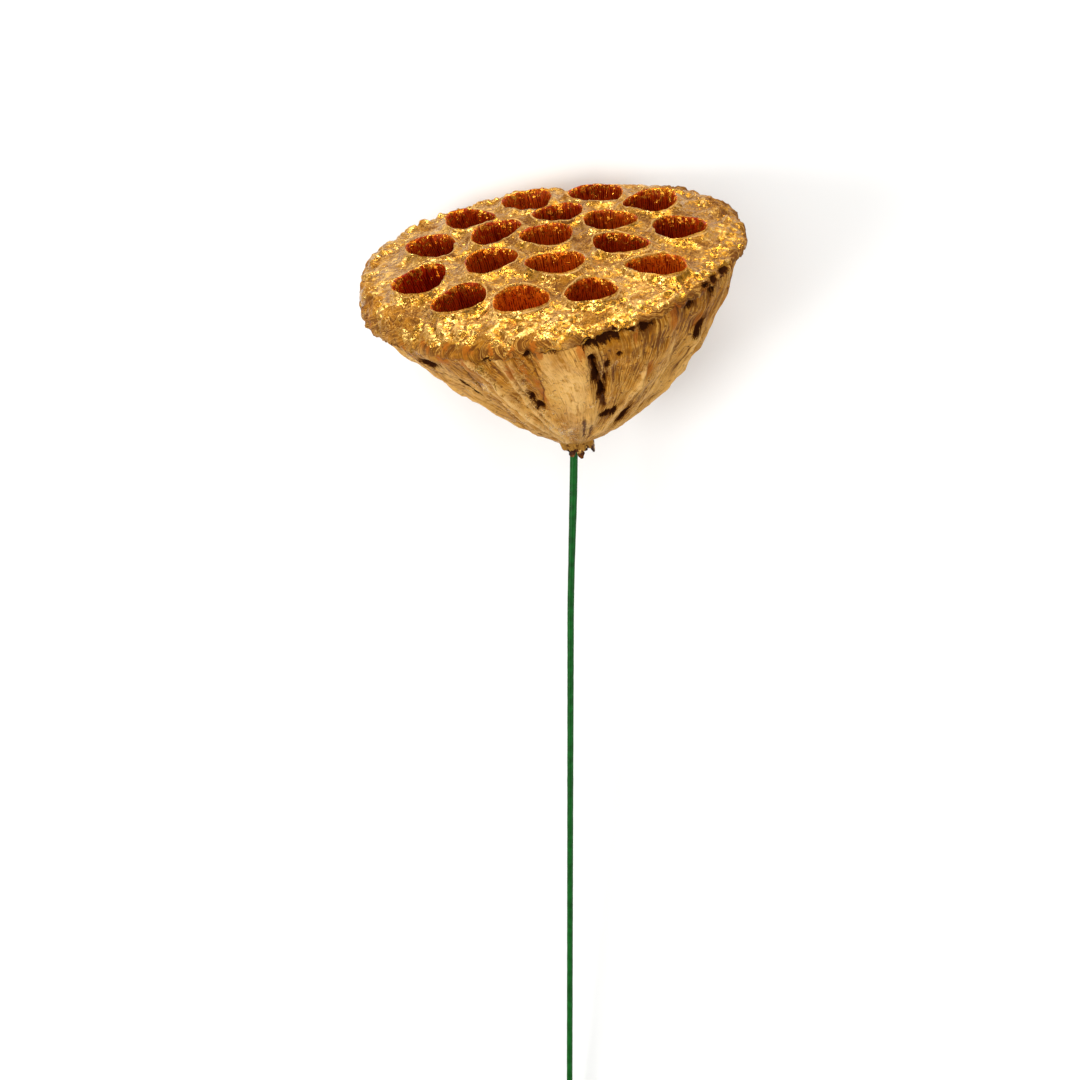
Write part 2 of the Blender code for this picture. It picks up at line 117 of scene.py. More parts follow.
# Seed cells: place on the face, width, height, slant of the mouth, bearing of its blunt corner
CELLS = (
    (13.5, 25.5, 13.5, 13.5, -0.25, 60),
    (26.0, 15.5, 13.5, 14.0, 0.00, 60),
    (-3.5, 27.5, 12.5, 13.0, -0.10, 50),
    (-18.5, 23.0, 12.5, 12.5, -0.30, 0),
    (3.5, 14.8, 12.5, 10.5, -0.10, 50),
    (15.0, 5.5, 13.0, 12.0, -0.28, 0),
    (31.0, -2.5, 13.0, 13.5, -0.20, 0),
    (-12.5, 9.8, 12.5, 12.5, 0.25, 10),
    (0.0, 2.0, 13.0, 13.0, -0.20, 50),
    (16.5, -8.5, 13.5, 11.5, -0.40, 0),
    (-28.0, 10.5, 12.5, 14.0, -0.25, 60),
    (-14.5, -6.0, 13.0, 14.0, 0.05, 0),
    (1.0, -14.0, 14.5, 12.0, -0.20, 40),
    (24.5, -21.5, 14.5, 11.5, -0.28, 60),
    (-31.5, -7.0, 13.5, 15.5, 0.25, 50),
    (-22.5, -21.5, 13.5, 14.0, 0.25, 70),
    (-8.5, -28.0, 13.5, 14.0, -0.10, 100),
    (8.0, -29.5, 12.5, 12.5, -0.10, 90),
)
CELL_CORNERING = 0.07
CELL_DEPTH = 14.0
CELL_LEAN = 0.12
CELL_PROFILE = (
    (0.0, 1.0), (0.01, 0.985), (0.025, 0.950), (0.05, 0.925), (0.10, 0.905), (0.25, 0.90), (0.50, 0.89),
    (0.85, 0.74), (1.0, 0.45),
)
COLLAR_HEIGHT = 1.05
COLLAR_WIDTH = 1.25
COLLAR_FALL = 1.5
COLLAR_MARGIN = 2.5
WEB_SINK = 0.35
WEB_MARGIN = 3.0

# Relief that the solids leave out: size of its features, height, and shift of its noise
FACE_LUMPS = (4.8, 0.62, 0.0)
LIP_KNOBS = (2.3, 0.45, 31.0)
RIM_KNOBS = (1.9, 1.25, 51.0)
EDGE_TEARS = (2.4, 1.35, 2.0)
EDGE_NICKS = (1.0, 0.65, 6.0)
FIBRE_BUNDLES = (1.9, 0.34, 9.0)
FIBRES = (0.80, 0.26, 15.0)
WALL_LUMPS = (6.0, 0.70, 4.0)
CORD_FRAY = (2.2, 0.7, 41.0)
# Sharp-ridged relief: the same, and the mean of its ridges
FOIL_FOLDS = (2.8, 0.20, 7.0, 0.35)
FOIL_CREASES = (1.3, 0.07, 3.0, 0.35)
FIBRE_CORDS = (3.0, 0.24, 5.0, 0.30)
CREASE_SHARPNESS = 2.2
# How the skin's points wander: size of the noise, reach, and its shift for each axis
POINT_WANDER = (2.4, 0.25, 11.0, 23.0, 37.0)
CELL_RIBS = 72
CELL_RIB_HEIGHT = 0.06
# Shares of a cell's depth over which its ribs set in and fade out
CELL_RIB_START = (0.02, 0.12)
CELL_RIB_STOP = (0.85, 1.0)
MARK_PIT = 0.55
# Notch in the rim: bearing, half width in degrees, depth
RIM_NOTCH = (79, 3.2, 2.2)
# How far the rim reaches over the face, and how far down the lip
RIM_WIDTH = 1.8
RIM_ROLL = 0.45
# Ways down over which the lip's free edge sets in, and over which the lip's fibres do
EDGE_START = (-0.7, -0.05)
LIP_TURN = (-1.0, -0.4)
# Width of the thin pale edge of a cell's mouth
RIM_BAND = 0.26
# Height of the relief from its lowest hollows to its highest crests
RELIEF_REACH = 1.6
# Length of the wall as the fibres' noise has it, so that the fibres are long
FIBRE_STRETCH = 8.0
# Radius of the cylinder that the noise is drawn on, how far it sways, and how long a cell's ribs are
FIBRE_RADIUS = 46.0
FIBRE_SWIRL = 0.10
CELL_STRETCH = 12.0
# Length of the lip as a share of the wall's
LIP_STRETCH = 0.15
# Length of the wall, from the lip to the stub
WALL_LENGTH = 60.0
# Least radius at which a turn round the pod is taken as a distance
LEAST_RADIUS = 6.0

# Cords and cracks of the wall: height, half width, paleness, and (bearing, way down) points
CORDS = (
    (1.2, 0.70, 1.0, (
        (238, -0.02), (243, 0.10), (245, 0.25), (246, 0.42), (247, 0.60), (250, 0.78), (255, 0.93),
    )),
    (1.1, 0.60, 1.0, (
        (248, -0.02), (250, 0.04), (251, 0.16), (251, 0.43), (252, 0.57), (254, 0.76), (259, 0.92),
    )),
    (0.9, 0.50, 0.9, ((253, 0.05), (253, 0.24), (253, 0.41), (255, 0.56), (259, 0.70))),
    (0.8, 0.50, 0.8, ((240, 0.20), (241, 0.45), (243, 0.66), (247, 0.82))),
    (-0.5, 0.35, 0.0, ((259, 0.00), (260, 0.15), (260, 0.31), (258, 0.42))),
    # The next crack, in the gap beside the overlapping fold, is coloured brown as painted shadow.
    (-1.1, 0.70, 0.0, ((277, 0.11), (278.5, 0.24), (280.5, 0.40), (282.5, 0.54))),
    (-0.6, 0.50, 0.0, ((273, 0.60), (275, 0.75), (277, 0.90))),
    (-0.5, 0.50, 0.0, ((279, 0.68), (281, 0.82), (282, 0.92))),
    (-0.5, 0.40, 0.0, ((235, 0.10), (231, 0.34), (228, 0.55), (232, 0.72))),
    (0.7, 0.80, 0.8, ((298, 0.30), (298, 0.45), (296, 0.58), (291, 0.72), (287, 0.86))),
    (-0.4, 0.35, 0.0, ((297, 0.04), (296, 0.22), (300, 0.38))),
    (0.7, 0.90, 0.7, ((323, 0.30), (325, 0.50), (323, 0.70), (312, 0.88))),
    (0.5, 0.60, 0.6, ((308, 0.20), (311, 0.45), (309, 0.66), (300, 0.84))),
    (0.7, 0.80, 0.8, ((205, 0.05), (208, 0.30), (207, 0.55), (214, 0.80))),
    (-0.6, 0.55, 0.0, ((190, 0.10), (192, 0.32), (189, 0.55))),
    (0.8, 0.80, 0.9, ((168, 0.02), (164, 0.26), (166, 0.52), (160, 0.80))),
    (0.6, 0.70, 0.7, ((150, 0.05), (151, 0.35), (147, 0.62), (150, 0.85))),
    (-0.7, 0.55, 0.0, ((136, 0.06), (133, 0.30), (134, 0.52))),
    (0.8, 0.75, 0.8, ((116, 0.03), (119, 0.28), (117, 0.60), (124, 0.85))),
    (0.7, 0.70, 0.9, ((88, 0.04), (85, 0.30), (88, 0.58), (84, 0.84))),
    (-0.6, 0.55, 0.0, ((70, 0.08), (72, 0.30), (69, 0.56))),
    (0.8, 0.80, 0.8, ((50, 0.02), (47, 0.30), (50, 0.60), (44, 0.85))),
    (0.6, 0.65, 0.7, ((28, 0.05), (31, 0.32), (28, 0.60), (33, 0.84))),
    (-0.6, 0.55, 0.0, ((14, 0.10), (12, 0.35), (15, 0.58))),
    (0.7, 0.75, 0.8, ((354, 0.03), (357, 0.30), (353, 0.60), (358, 0.85))),
    (0.6, 0.65, 0.6, ((338, 0.06), (336, 0.34), (340, 0.62), (334, 0.86))),
)
# Folds whose left side stands over their right: height, reach on the left, and (bearing, way down) points
OVERLAPS = (
    (2.1, 8.0, ((275, -0.02), (276, 0.17), (277, 0.34), (279, 0.46), (281, 0.61), (283, 0.80))),
    (0.9, 5.0, ((181, 0.02), (178, 0.30), (182, 0.60))),
    (1.0, 6.0, ((101, 0.02), (104, 0.32), (100, 0.62))),
    (0.9, 5.0, ((60, 0.04), (58, 0.33), (61, 0.64))),
)
OVERLAP_EDGE = 0.5
# Ways down from an overlap's first point and from its last over which it sets in and fades out
OVERLAP_START = (-0.05, 0.1)
OVERLAP_STOP = (-0.15, 0.0)

# The wire stem: where it leaves the stub, and its coat
WIRE_EXIT = (-2.6, -0.8)
WIRE_LENGTH = 230.0
WIRE_IN_POD = 20.0
WIRE_RADIUS = 0.45
COAT_BORE_RADIUS = 0.56
COAT_RADIUS = ((0, 1.0), (35, 0.98), (50, 0.86), (100, 0.80), (150, 0.76), (230, 0.75))
COAT_UNEVENNESS = 0.03
COAT_WAVE = 3.0
END_SETBACK = 0.02
WIRE_DRIFT = -0.7
WIRE_DRIFT_LENGTH = 45.0
HOLE_RADIUS = 1.3
HOLE_MOUTH = 1.5
HOLE_DEPTH = 20.3

# Torn shreds round the stub's end
SHREDS = 13
SHRED_SEED = 4
SHRED_STEPS = 4
SHRED_THICKNESS = 0.35
SHRED_SPREAD = 0.3
SHRED_LEAN = (0.0, 40.0)
SHRED_LENGTH = (1.0, 2.9)
SHRED_WIDTH = (1.2, 2.5)
SHRED_ROOT_RADIUS = (3.2, 3.9)
SHRED_ROOT_HEIGHT = 1.2 - STUB_END
SHRED_SWAY = 0.15
SHRED_TAPER = 0.75
SHRED_UNEVENNESS = (0.75, 1.15)

# Fineness of the skin and the stem
AROUND = 720
AROUND_CELL = 216
FACE_STEP = 0.52
FACE_CLEARANCE = 0.34
LIP_ROWS = 17
WALL_ROWS = 34
LOWER_WALL_ROWS = 15
WALL_SPAN = (0.02, 0.985)
LOWER_WALL_START = 0.62
COARSEST_WALL_START = 0.88
STUB_ROWS = 5
STUB_SIDES = AROUND // 6
HOLE_SIDES = AROUND // 12
CELL_ROW_DEPTHS = (0.14, 0.35, 0.7, 1.4, 2.8, 4.8, 7.4, 10.6, 14.0)
STEM_STOPS = 361
COAT_SIDES = 32
CORE_SIDES = 24
CORE_STOP_EVERY = 8
SAME_PLACE = 1e-6
BOX_MARGIN = 1.2

# The kinds of surface that the skin has
FACE, LIP, WALL, STUB, CELL = range(5)

# The camera, and how the photograph frames the pod
CAMERA_DISTANCE = 900.0
CAMERA_LENS = 126.0
CAMERA_SENSOR = 36.0
CAMERA_TILT = 8.53
CAMERA_CLIP = (0.05, 20.0)
FACE_LEFT_OF_MIDDLE = -2.02
FACE_ABOVE_MIDDLE = 71.31

# Lights: name, place in metres from the middle of the face, size, power
LIGHTS = (
    ("key", (-0.20, 0.98, 0.26), (0.62, 0.25), 8.0),
    ("sparkle", (0.15, 0.85, 0.15), (0.4, 0.07), 3.0),
    ("left_side", (-0.85, -0.30, 0.80), (0.5, 0.5), 9.5),
    ("right_side", (0.90, -0.45, 0.75), (0.9, 0.9), 7.2),
    ("overhead", (-0.3, 0.1, 1.6), (1.2, 1.2), 8.8),
)
SURROUND = (1.0, 0.99, 0.97, 1.0)
SURROUND_STRENGTH = 0.27
FLOOR_REACH = 3000.0

# Colours
GOLD = (0.74, 0.43, 0.110, 1.0)
GOLD_DEEP = (0.38, 0.165, 0.015, 1.0)
BEIGE = (0.60, 0.30, 0.055, 1.0)
TAN = (0.32, 0.120, 0.008, 1.0)
OCHRE = (0.42, 0.150, 0.003, 1.0)
UMBER = (0.22, 0.078, 0.004, 1.0)
BROWN = (0.11, 0.030, 0.003, 1.0)
PALE = (0.75, 0.445, 0.145, 1.0)
STRAW = (0.76, 0.40, 0.080, 1.0)
RUST = (0.36, 0.090, 0.004, 1.0)
DARK = (0.028, 0.007, 0.002, 1.0)
CELL_RED = (0.110, 0.002, 0.0005, 1.0)
CELL_ORANGE = (0.40, 0.019, 0.001, 1.0)
CELL_WARM = (0.85, 0.19, 0.008, 1.0)
CELL_GOLD = (0.85, 0.36, 0.035, 1.0)
CELL_GOLD_DEEP = (0.55, 0.13, 0.006, 1.0)
COAT_GREEN = (0.001, 0.052, 0.003, 1.0)
COAT_GREEN_LIGHT = (0.002, 0.100, 0.008, 1.0)
STEEL = (0.45, 0.45, 0.44, 1.0)
FLOOR = (0.90, 0.90, 0.89, 1.0)
# How orange each seed cell is, in the order of the cells
CELL_WARMTH = (
    0.1, 0.1, 0.2, 0.1, 0.1, 0.3, 0.1, 0.1, 0.3, 0.1, 0.1, 0.2, 0.5, 0.6, 0.0, 0.1, 0.75, 0.3,
)
LEAF_METALLIC = 0.85
MIDDLE_GREY = (0.5, 0.5, 0.5)
# Facets of the crumpled leaf: scale and reach of the noise that bends them, and their own scales
LEAF_BEND = (1.4, 1.6)
LEAF_FACETS = (1.0, 2.3)
CELL_BEND = (1.5, 0.9)
CELL_FACETS = (0.9, 2.0)

# Noises of the skin, drawn out along its fibres and the same every way: scale, detail, roughness,
# distortion
GRAIN_SCALE = (1.0, 1.0, 0.45)
FIBROUS_NOISES = {
    "fibres": (1.6, 3.0, 0.65), "threads": (3.2, 2.0, 0.5, 0.3), "streaks": (0.8, 3.0, 0.6),
    "bundles": (0.30, 2.0, 0.5), "ragged": (1.3, 5.0, 0.8),
}
EVEN_NOISES = {
    "patches": (0.16, 4.0, 0.6), "mottle": (0.55, 3.0, 0.6), "flecks": (2.2, 4.0, 0.7),
    "specks": (0.95, 1.0, 0.5), "rubbed": (0.30, 3.0, 0.6),
}
# Layers of the materials: from and to which value of its pattern each changes, and its cover at
# either end where that isn't none and full
LAYERS = {
    "beige": (0.86, 1.18), "ochre": (0.82, 1.02, 0.0, 0.90), "umber": (0.32, 0.62, 0.85, 0.35),
    "stripes": (0.50, 0.70, 0.80, 0.0), "bundles": (0.40, 0.62, 0.25, 1.0),
    "light threads": (0.69, 0.77, 0.0, 0.60), "dark threads": (0.54, 0.63, 0.42, 0.0),
    "specks": (0.74, 0.82, 0.0, 0.9), "pale": (0.60, 0.88), "rim": (1.0, 1.5, 0.0, 0.7),
    "rust": (2.05, 2.35, 0.0, 0.75), "leaf": (1.08, 1.20), "bright gold": (0.10, 0.90),
    "soiled and shaded gold": (0.50, 0.63, 0.80, 0.0), "scorch_and_shadow": (2.25, 2.45, 0.0, 0.85),
    "cracks": (0.93, 1.15, 0.0, 0.9), "rot_and_shadow": (2.53, 2.58), "polish": (0.42, 0.56, 0.36, 0.17),
    "orange": (0.42, 0.85), "warm": (0.68, 0.98), "cell gilt": (0.67, 0.71), "cell gold": (-0.4, 0.5),
    "shred brown": (0.46, 0.60), "shred gilt": (0.56, 0.60), "light green": (0.3, 0.7),
    "scratches": (0.3, 0.7, 0.28, 0.45),
}
# Spans over which scorching and painted shadow end what is sound, and over which skin turns into leaf
SOUND = (0.0, 0.6)
GILDED = (0.0, 0.8)

# Cover of the gold leaf on the face, the lip and the wall: its mean, and the share of its patches
LEAF_COVER = ((0.52, 0.60), (0.66, 0.60), (0.12, 0.50))
LEAF_PATCHES = (6.0, 1.0, 17.0)
LEAF_FRAYS = (2.4, 0.6, 19.0)
# Where the cover rises or falls, from and to, and by how much
LEAF_AT_MARGIN = (24.0, 36.0, 0.22)
LEAF_WORN_RIGHT = (20.0, 40.0, 0.20)
LEAF_WORN_EDGE = (-0.6, -0.15, 0.42)
LEAF_ON_LEFT = (-0.3, 0.6, 0.22)
# The wall's most gilded side, in degrees from its left, and how much pale marks thin the leaf
LEAF_TURN = 20.0
LEAF_OFF_PALE = 0.5
# More leaf on the collars: distance from the mouth, width, height
LEAF_ROUND_MOUTHS = (1.6, 1.2, 0.15)

# Stain of the gilded skin: its mean, more at the lip's edge, more at the right as painted shade, and more in
# the middle
STAIN_ON_FACE = 0.95
STAIN_ON_EDGE = 0.5
SHADE_ON_RIGHT = (12.0, 40.0, 0.9)
DULL_MIDDLE = (25.0, 0.99)

# How fast a mark fades from its middle, and the noise that wears it
MARK_FALL = 0.7
MARK_WEAR = (1.6, 0.5, 13.0)
# Marks on the skin: bearing, way down, half width in degrees, half length, strength
DARK_MARKS = (
    (277, 0.00, 2.2, 0.028, 1.3), (281, 0.02, 2.6, 0.030, 1.4), (285, 0.01, 2.4, 0.030, 1.4),
    (289, -0.01, 1.8, 0.025, 1.2), (296, 0.04, 2.4, 0.030, 1.3), (293, 0.00, 1.2, 0.02, 1.0),
    (325, 0.02, 2.5, 0.05, 1.2), (319, -0.22, 1.8, 0.20, 1.5), (313, 0.05, 2.2, 0.03, 1.1),
    # The marks from bearing 277.5 to 283, way down 0.15 to 0.41, are painted shadow in the gap beside the
    # overlapping fold; the rest are rotted, scorched patches.
    (330, -0.25, 2.0, 0.22, 1.5), (277.5, 0.15, 1.3, 0.035, 1.2), (278.5, 0.27, 1.6, 0.07, 1.2),
    (280.5, 0.41, 1.3, 0.06, 1.1), (283, 0.22, 0.8, 0.03, 1.0), (282.5, 0.31, 0.8, 0.03, 1.0),
    (285, 0.63, 2.2, 0.035, 1.5), (289.5, 0.64, 2.0, 0.035, 1.5), (256, 0.45, 1.8, 0.03, 1.3),
    (254, 0.37, 1.4, 0.04, 1.0), (287, 0.16, 0.9, 0.015, 1.1), (322, 0.27, 2.6, 0.045, 1.3),
    (218, 0.15, 3.5, 0.03, 1.2), (324, -0.35, 1.5, 0.16, 1.6), (222, 0.38, 1.2, 0.08, 1.1),
    (188, 0.74, 5.0, 0.05, 1.0),
    (236, 0.76, 5.0, 0.06, 1.0), (299, 0.72, 2.2, 0.07, 1.0), (212, 0.03, 5.0, 0.03, 0.9),
    (265, 0.00, 2.0, 0.02, 1.0), (259, 0.01, 1.6, 0.03, 0.9), (246, 0.00, 2.4, 0.02, 0.8),
    (35, 0.02, 3.0, 0.03, 1.1), (62, 0.30, 1.4, 0.06, 1.1), (112, 0.00, 3.0, 0.03, 1.1),
    (126, 0.38, 1.6, 0.05, 1.1), (158, 0.02, 2.5, 0.04, 1.1), (8, 0.45, 1.6, 0.05, 1.0),
)
RUST_MARKS = (
    (226, -0.20, 1.6, 0.22, 0.8), (233, -0.30, 1.0, 0.28, 0.9), (241, -0.22, 1.2, 0.26, 0.8),
    (248, -0.28, 0.9, 0.30, 0.9), (254, -0.18, 1.3, 0.24, 0.8), (261, -0.22, 1.0, 0.24, 0.9),
    (268, -0.16, 1.4, 0.18, 0.8), (216, -0.12, 1.8, 0.18, 0.7), (196, -0.15, 2.0, 0.20, 0.7),
    (306, 0.04, 1.8, 0.10, 1.2), (274, 0.03, 1.5, 0.05, 0.9), (262, 0.02, 1.2, 0.04, 0.8),
    (300, 0.35, 1.5, 0.06, 0.7), (252, 0.10, 1.5, 0.10, 0.8), (256, 0.12, 1.2, 0.12, 0.8),
    (238, 0.05, 2.0, 0.06, 0.8), (230, 0.04, 2.5, 0.05, 0.8), (320, 0.20, 1.6, 0.06, 0.8),
    (318, 0.02, 2.0, 0.06, 0.8), (259, 0.30, 1.0, 0.10, 0.9), (292, 0.08, 1.0, 0.05, 0.7),
)
STAIN_MARKS = (
    (222, 0.10, 16, 0.20, 1.0), (243, 0.10, 7, 0.20, 1.0), (256, 0.18, 4, 0.22, 1.0),
    (268, 0.04, 6, 0.10, 0.8), (292, 0.20, 10, 0.24, 0.9), (316, 0.10, 10, 0.16, 0.9),
    (232, 0.60, 9, 0.18, 1.0), (243, 0.72, 5, 0.14, 0.8), (268, 0.72, 6, 0.16, 0.8),
    (300, 0.60, 7, 0.16, 0.6), (340, 0.20, 10, 0.20, 0.9), (10, 0.15, 12, 0.25, 0.8),
    (40, 0.40, 12, 0.25, 0.8), (75, 0.15, 12, 0.22, 0.9), (105, 0.50, 10, 0.25, 0.8),
    (130, 0.15, 12, 0.22, 0.9), (165, 0.45, 12, 0.25, 0.8), (190, 0.12, 12, 0.20, 0.9),
)
PALE_MARKS = (
    (270, 0.34, 4.5, 0.24, 0.9), (277, 0.72, 4.0, 0.16, 0.9), (264, 0.16, 2.0, 0.14, 0.7),
    (222, 0.30, 6.0, 0.25, 0.6), (207, 0.32, 6.0, 0.30, 0.6), (232, 0.86, 9.0, 0.10, 0.6),
    (310, 0.55, 7.0, 0.16, 0.6), (326, 0.60, 4.0, 0.20, 0.6),
)


def around(table, degrees):
    """Smooth values, at bearings in degrees, of a table of (bearing, value) that closes on itself."""
    marks = np.array([row[0] for row in table] + [table[0][0] + 360.0])
    values = np.array([row[1] for row in table] + [table[0][1]])
    degrees = np.mod(np.asarray(degrees, float) - marks[0], 360.0) + marks[0]
    at = np.clip(np.searchsorted(marks, degrees, side="right") - 1, 0, len(table) - 1)
    share = (degrees - marks[at]) / (marks[at + 1] - marks[at])
    return values[at] + (values[at + 1] - values[at]) * (1 - np.cos(np.pi * share)) / 2


def along(table, distance):
    """Values at distances along a table of (distance, value)."""
    return np.interp(distance, [row[0] for row in table], [row[1] for row in table])


def ring_degrees(count):
    """Evenly spaced bearings round a ring, in degrees."""
    return np.arange(count) * 360.0 / count


def turn_between(first, second):
    """Angle in degrees from one bearing to another, the short way round."""
    return np.mod(first - second + 180.0, 360.0) - 180.0


def ruffle(degrees):
    """Uneven wave round the rim, between about -1 and 1."""
    bearing = np.radians(degrees)
    return sum(share * np.sin(count * bearing + start) for count, share, start in RUFFLE_WAVES)


def smooth_step(values, low, high):
    """0 below low, 1 above high, and a smooth rise between them."""
    share = np.clip((values - low) / (high - low), 0.0, 1.0)
    return share * share * (3 - 2 * share)


def rise(values, span):
    """Smooth rise from 0 to a height, over a span given as its low end, high end and height."""
    low, high, height = span
    return height * smooth_step(values, low, high)


def polar(radius, degrees, height):
    """Points at distances from the pod's axis, at bearings and heights."""
    bearing = np.radians(degrees)
    return np.column_stack(np.broadcast_arrays(radius * np.cos(bearing), radius * np.sin(bearing), height))


def field(places, size, shift):
    """Noise between about -1 and 1 at each place, with features of about the given size."""
    return np.array([noise.noise(place) for place in (places / size + shift).tolist()])


def creases(places, size, shift):
    """Sharp ridges of folded noise, between 0 and 1, with features of about the given size."""
    return (1.0 - np.minimum(1.0, CREASE_SHARPNESS * np.abs(field(places, size, shift)))) ** 2


def bumps(places, feature):
    """Height of rounded relief, given as its size, height and shift."""
    size, height, shift = feature
    return height * field(places, size, shift)


def folds(places, feature):
    """Height of sharp-ridged relief, given as its size, height, shift and mean."""
    size, height, shift, mean = feature
    return height * (creases(places, size, shift) - mean)


def dome_height(x, y):
    """Height of the smooth face."""
    return -FACE_DOME * (x * x + y * y)


def inside_edge(x, y):
    """How far places on the face are inside its edge. Outside, it is negative."""
    return around(FACE_EDGE, np.degrees(np.arctan2(y, x))) - np.hypot(x, y)


def mouth_swell(cell, angle):
    """How far a cell's mouth stands out beyond its ellipse, at angles round it."""
    return 1 + CELL_CORNERING * np.cos(3 * (angle - math.radians(cell[5])))


def cell_ring(cell, count, scale=1.0, depth=0.0):
    """Places x and y round a cell, at a share of its depth."""
    x, y, width, height, slant, _ = cell
    keep = 1.0 - CELL_LEAN * depth
    angle = np.radians(ring_degrees(count))
    swell = scale * mouth_swell(cell, angle)
    across = width / 2 * swell * np.cos(angle)
    upward = height / 2 * swell * np.sin(angle) + slant * across
    return np.column_stack((x * keep + across, y * keep + upward))


def mouth_distance(cell, x, y):
    """About how far places on the face are outside a cell's mouth. Inside, it is negative."""
    centre_x, centre_y, width, height, slant, _ = cell
    across = x - centre_x
    upward = y - centre_y - slant * across
    angle = np.arctan2(2 * upward / height, 2 * across / width)
    share = np.hypot(2 * across / width, 2 * upward / height) / mouth_swell(cell, angle)
    return (share - 1) * (width + height) / 4


def nearest_mouth(x, y):
    """Distance from places on the face to the nearest mouth."""
    return np.min([mouth_distance(cell, x, y) for cell in CELLS], axis=0)


def face_height(x, y):
    """Height of the face with its collars round the mouths."""
    distance = np.maximum(nearest_mouth(x, y), 0.0)
    to_edge = inside_edge(x, y)
    sink = WEB_SINK * (1 - np.exp(-(to_edge / WEB_MARGIN) ** 2))
    collar = COLLAR_HEIGHT * np.exp(-(distance / COLLAR_WIDTH) ** 2)
    return dome_height(x, y) - sink + collar * smooth_step(to_edge, 0.0, COLLAR_MARGIN)


class Skin:
    """Points, triangles and facts of the pod's surface, gathered ring by ring."""

    def __init__(self):
        self.points = []
        self.kinds = []
        self.bearings = []
        self.downs = []
        self.triangles = []
        self.count = 0

    def ring(self, points, kind, bearing=0.0, down=0.0):
        """Add points, and give their numbers."""
        size = len(points)
        self.points.append(np.asarray(points, float))
        self.kinds.append(np.full(size, kind))
        self.bearings.append(np.broadcast_to(np.asarray(bearing, float), size))
        self.downs.append(np.broadcast_to(np.asarray(down, float), size))
        self.count += size
        return list(range(self.count - size, self.count))

    def bridge(self, first, second):
        """Join two rings that run the same way round, also where one has more points."""
        i = j = 0
        while i < len(first) or j < len(second):
            start = first[i % len(first)]
            across = second[j % len(second)]
            if (i + 1) * len(second) <= (j + 1) * len(first):
                i += 1
                self.triangles.append((start, across, first[i % len(first)]))
            else:
                j += 1
                self.triangles.append((start, across, second[j % len(second)]))

    def bridge_all(self, rings):
        """Join each ring to the next."""
        for first, second in zip(rings, rings[1:]):
            self.bridge(first, second)

    def cap(self, ring, middle, kind, down=0.0):
        """Close a ring with a fan round a middle point."""
        centre = self.ring([middle], kind, 0.0, down)[0]
        for first, second in zip(ring, ring[1:] + ring[:1]):
            self.triangles.append((first, centre, second))

    def settle(self):
        """Gather everything into arrays."""
        self.points = np.vstack(self.points)
        self.kinds = np.concatenate(self.kinds)
        self.bearings = np.concatenate(self.bearings)
        self.downs = np.concatenate(self.downs)
        self.triangles = np.array(self.triangles)
        self.x, self.y = self.points[:, 0], self.points[:, 1]
        self.radius = np.hypot(self.x, self.y)

    def on(self, *kinds):
        """Which points are on some kinds of surface."""
        return np.isin(self.kinds, kinds)


def normals_of(points, triangles):
    """Unit normal at each point of a surface."""
    a, b, c = (points[triangles[:, corner]] for corner in range(3))
    across = np.cross(b - a, c - a)
    total = np.zeros_like(points)
    for corner in range(3):
        for axis in range(3):
            total[:, axis] += np.bincount(triangles[:, corner], across[:, axis], len(points))
    return total / np.maximum(np.linalg.norm(total, axis=1), 1e-12)[:, None]


def add_face(skin):
    """Domed face between the cells' mouths. Returns its outer ring and the rings of the mouths."""
    degrees = ring_degrees(AROUND)
    outline = polar(around(FACE_EDGE, degrees), degrees, 0.0)[:, :2]
    mouths = [cell_ring(cell, AROUND_CELL) for cell in CELLS]
    flat = np.vstack([outline, *mouths, face_grid()])
    loops = [(0, AROUND)] + [(AROUND + AROUND_CELL * index, AROUND_CELL) for index in range(len(CELLS))]
    edges = [(start + step, start + (step + 1) % size) for start, size in loops for step in range(size)]
    found = delaunay_2d_cdt([Vector(place) for place in flat.tolist()], edges, [], 0, SAME_PLACE)
    sources = np.array([origin[0] for origin in found[3]])
    corners = sources[np.array(found[2])]
    middle = flat[corners].mean(axis=1)
    corners = corners[(inside_edge(*middle.T) > 0) & (nearest_mouth(*middle.T) > 0)]
    first, second, third = (flat[corners[:, corner]] for corner in range(3))
    area = np.cross(second - first, third - first)
    corners[area < 0] = corners[area < 0][:, ::-1]
    numbers = np.array(skin.ring(np.column_stack((flat, face_height(*flat.T))), FACE, 0.0, -1.0))
    skin.triangles.extend(map(tuple, numbers[corners].tolist()))
    return [numbers[start:start + size].tolist() for start, size in loops]


def face_grid():
    """Places on a staggered grid over the face that keep clear of its edge and of every mouth."""
    reach = int(max(radius for _, radius in FACE_EDGE) / FACE_STEP) + 1
    row, column = np.meshgrid(np.arange(-reach * 2, reach * 2 + 1), np.arange(-reach, reach + 1))
    x = ((column + row % 2 / 2) * FACE_STEP).ravel()
    y = (row * FACE_STEP * math.sqrt(0.75)).ravel()
    clear = (inside_edge(x, y) > FACE_CLEARANCE) & (nearest_mouth(x, y) > FACE_CLEARANCE)
    return np.column_stack((x[clear], y[clear]))


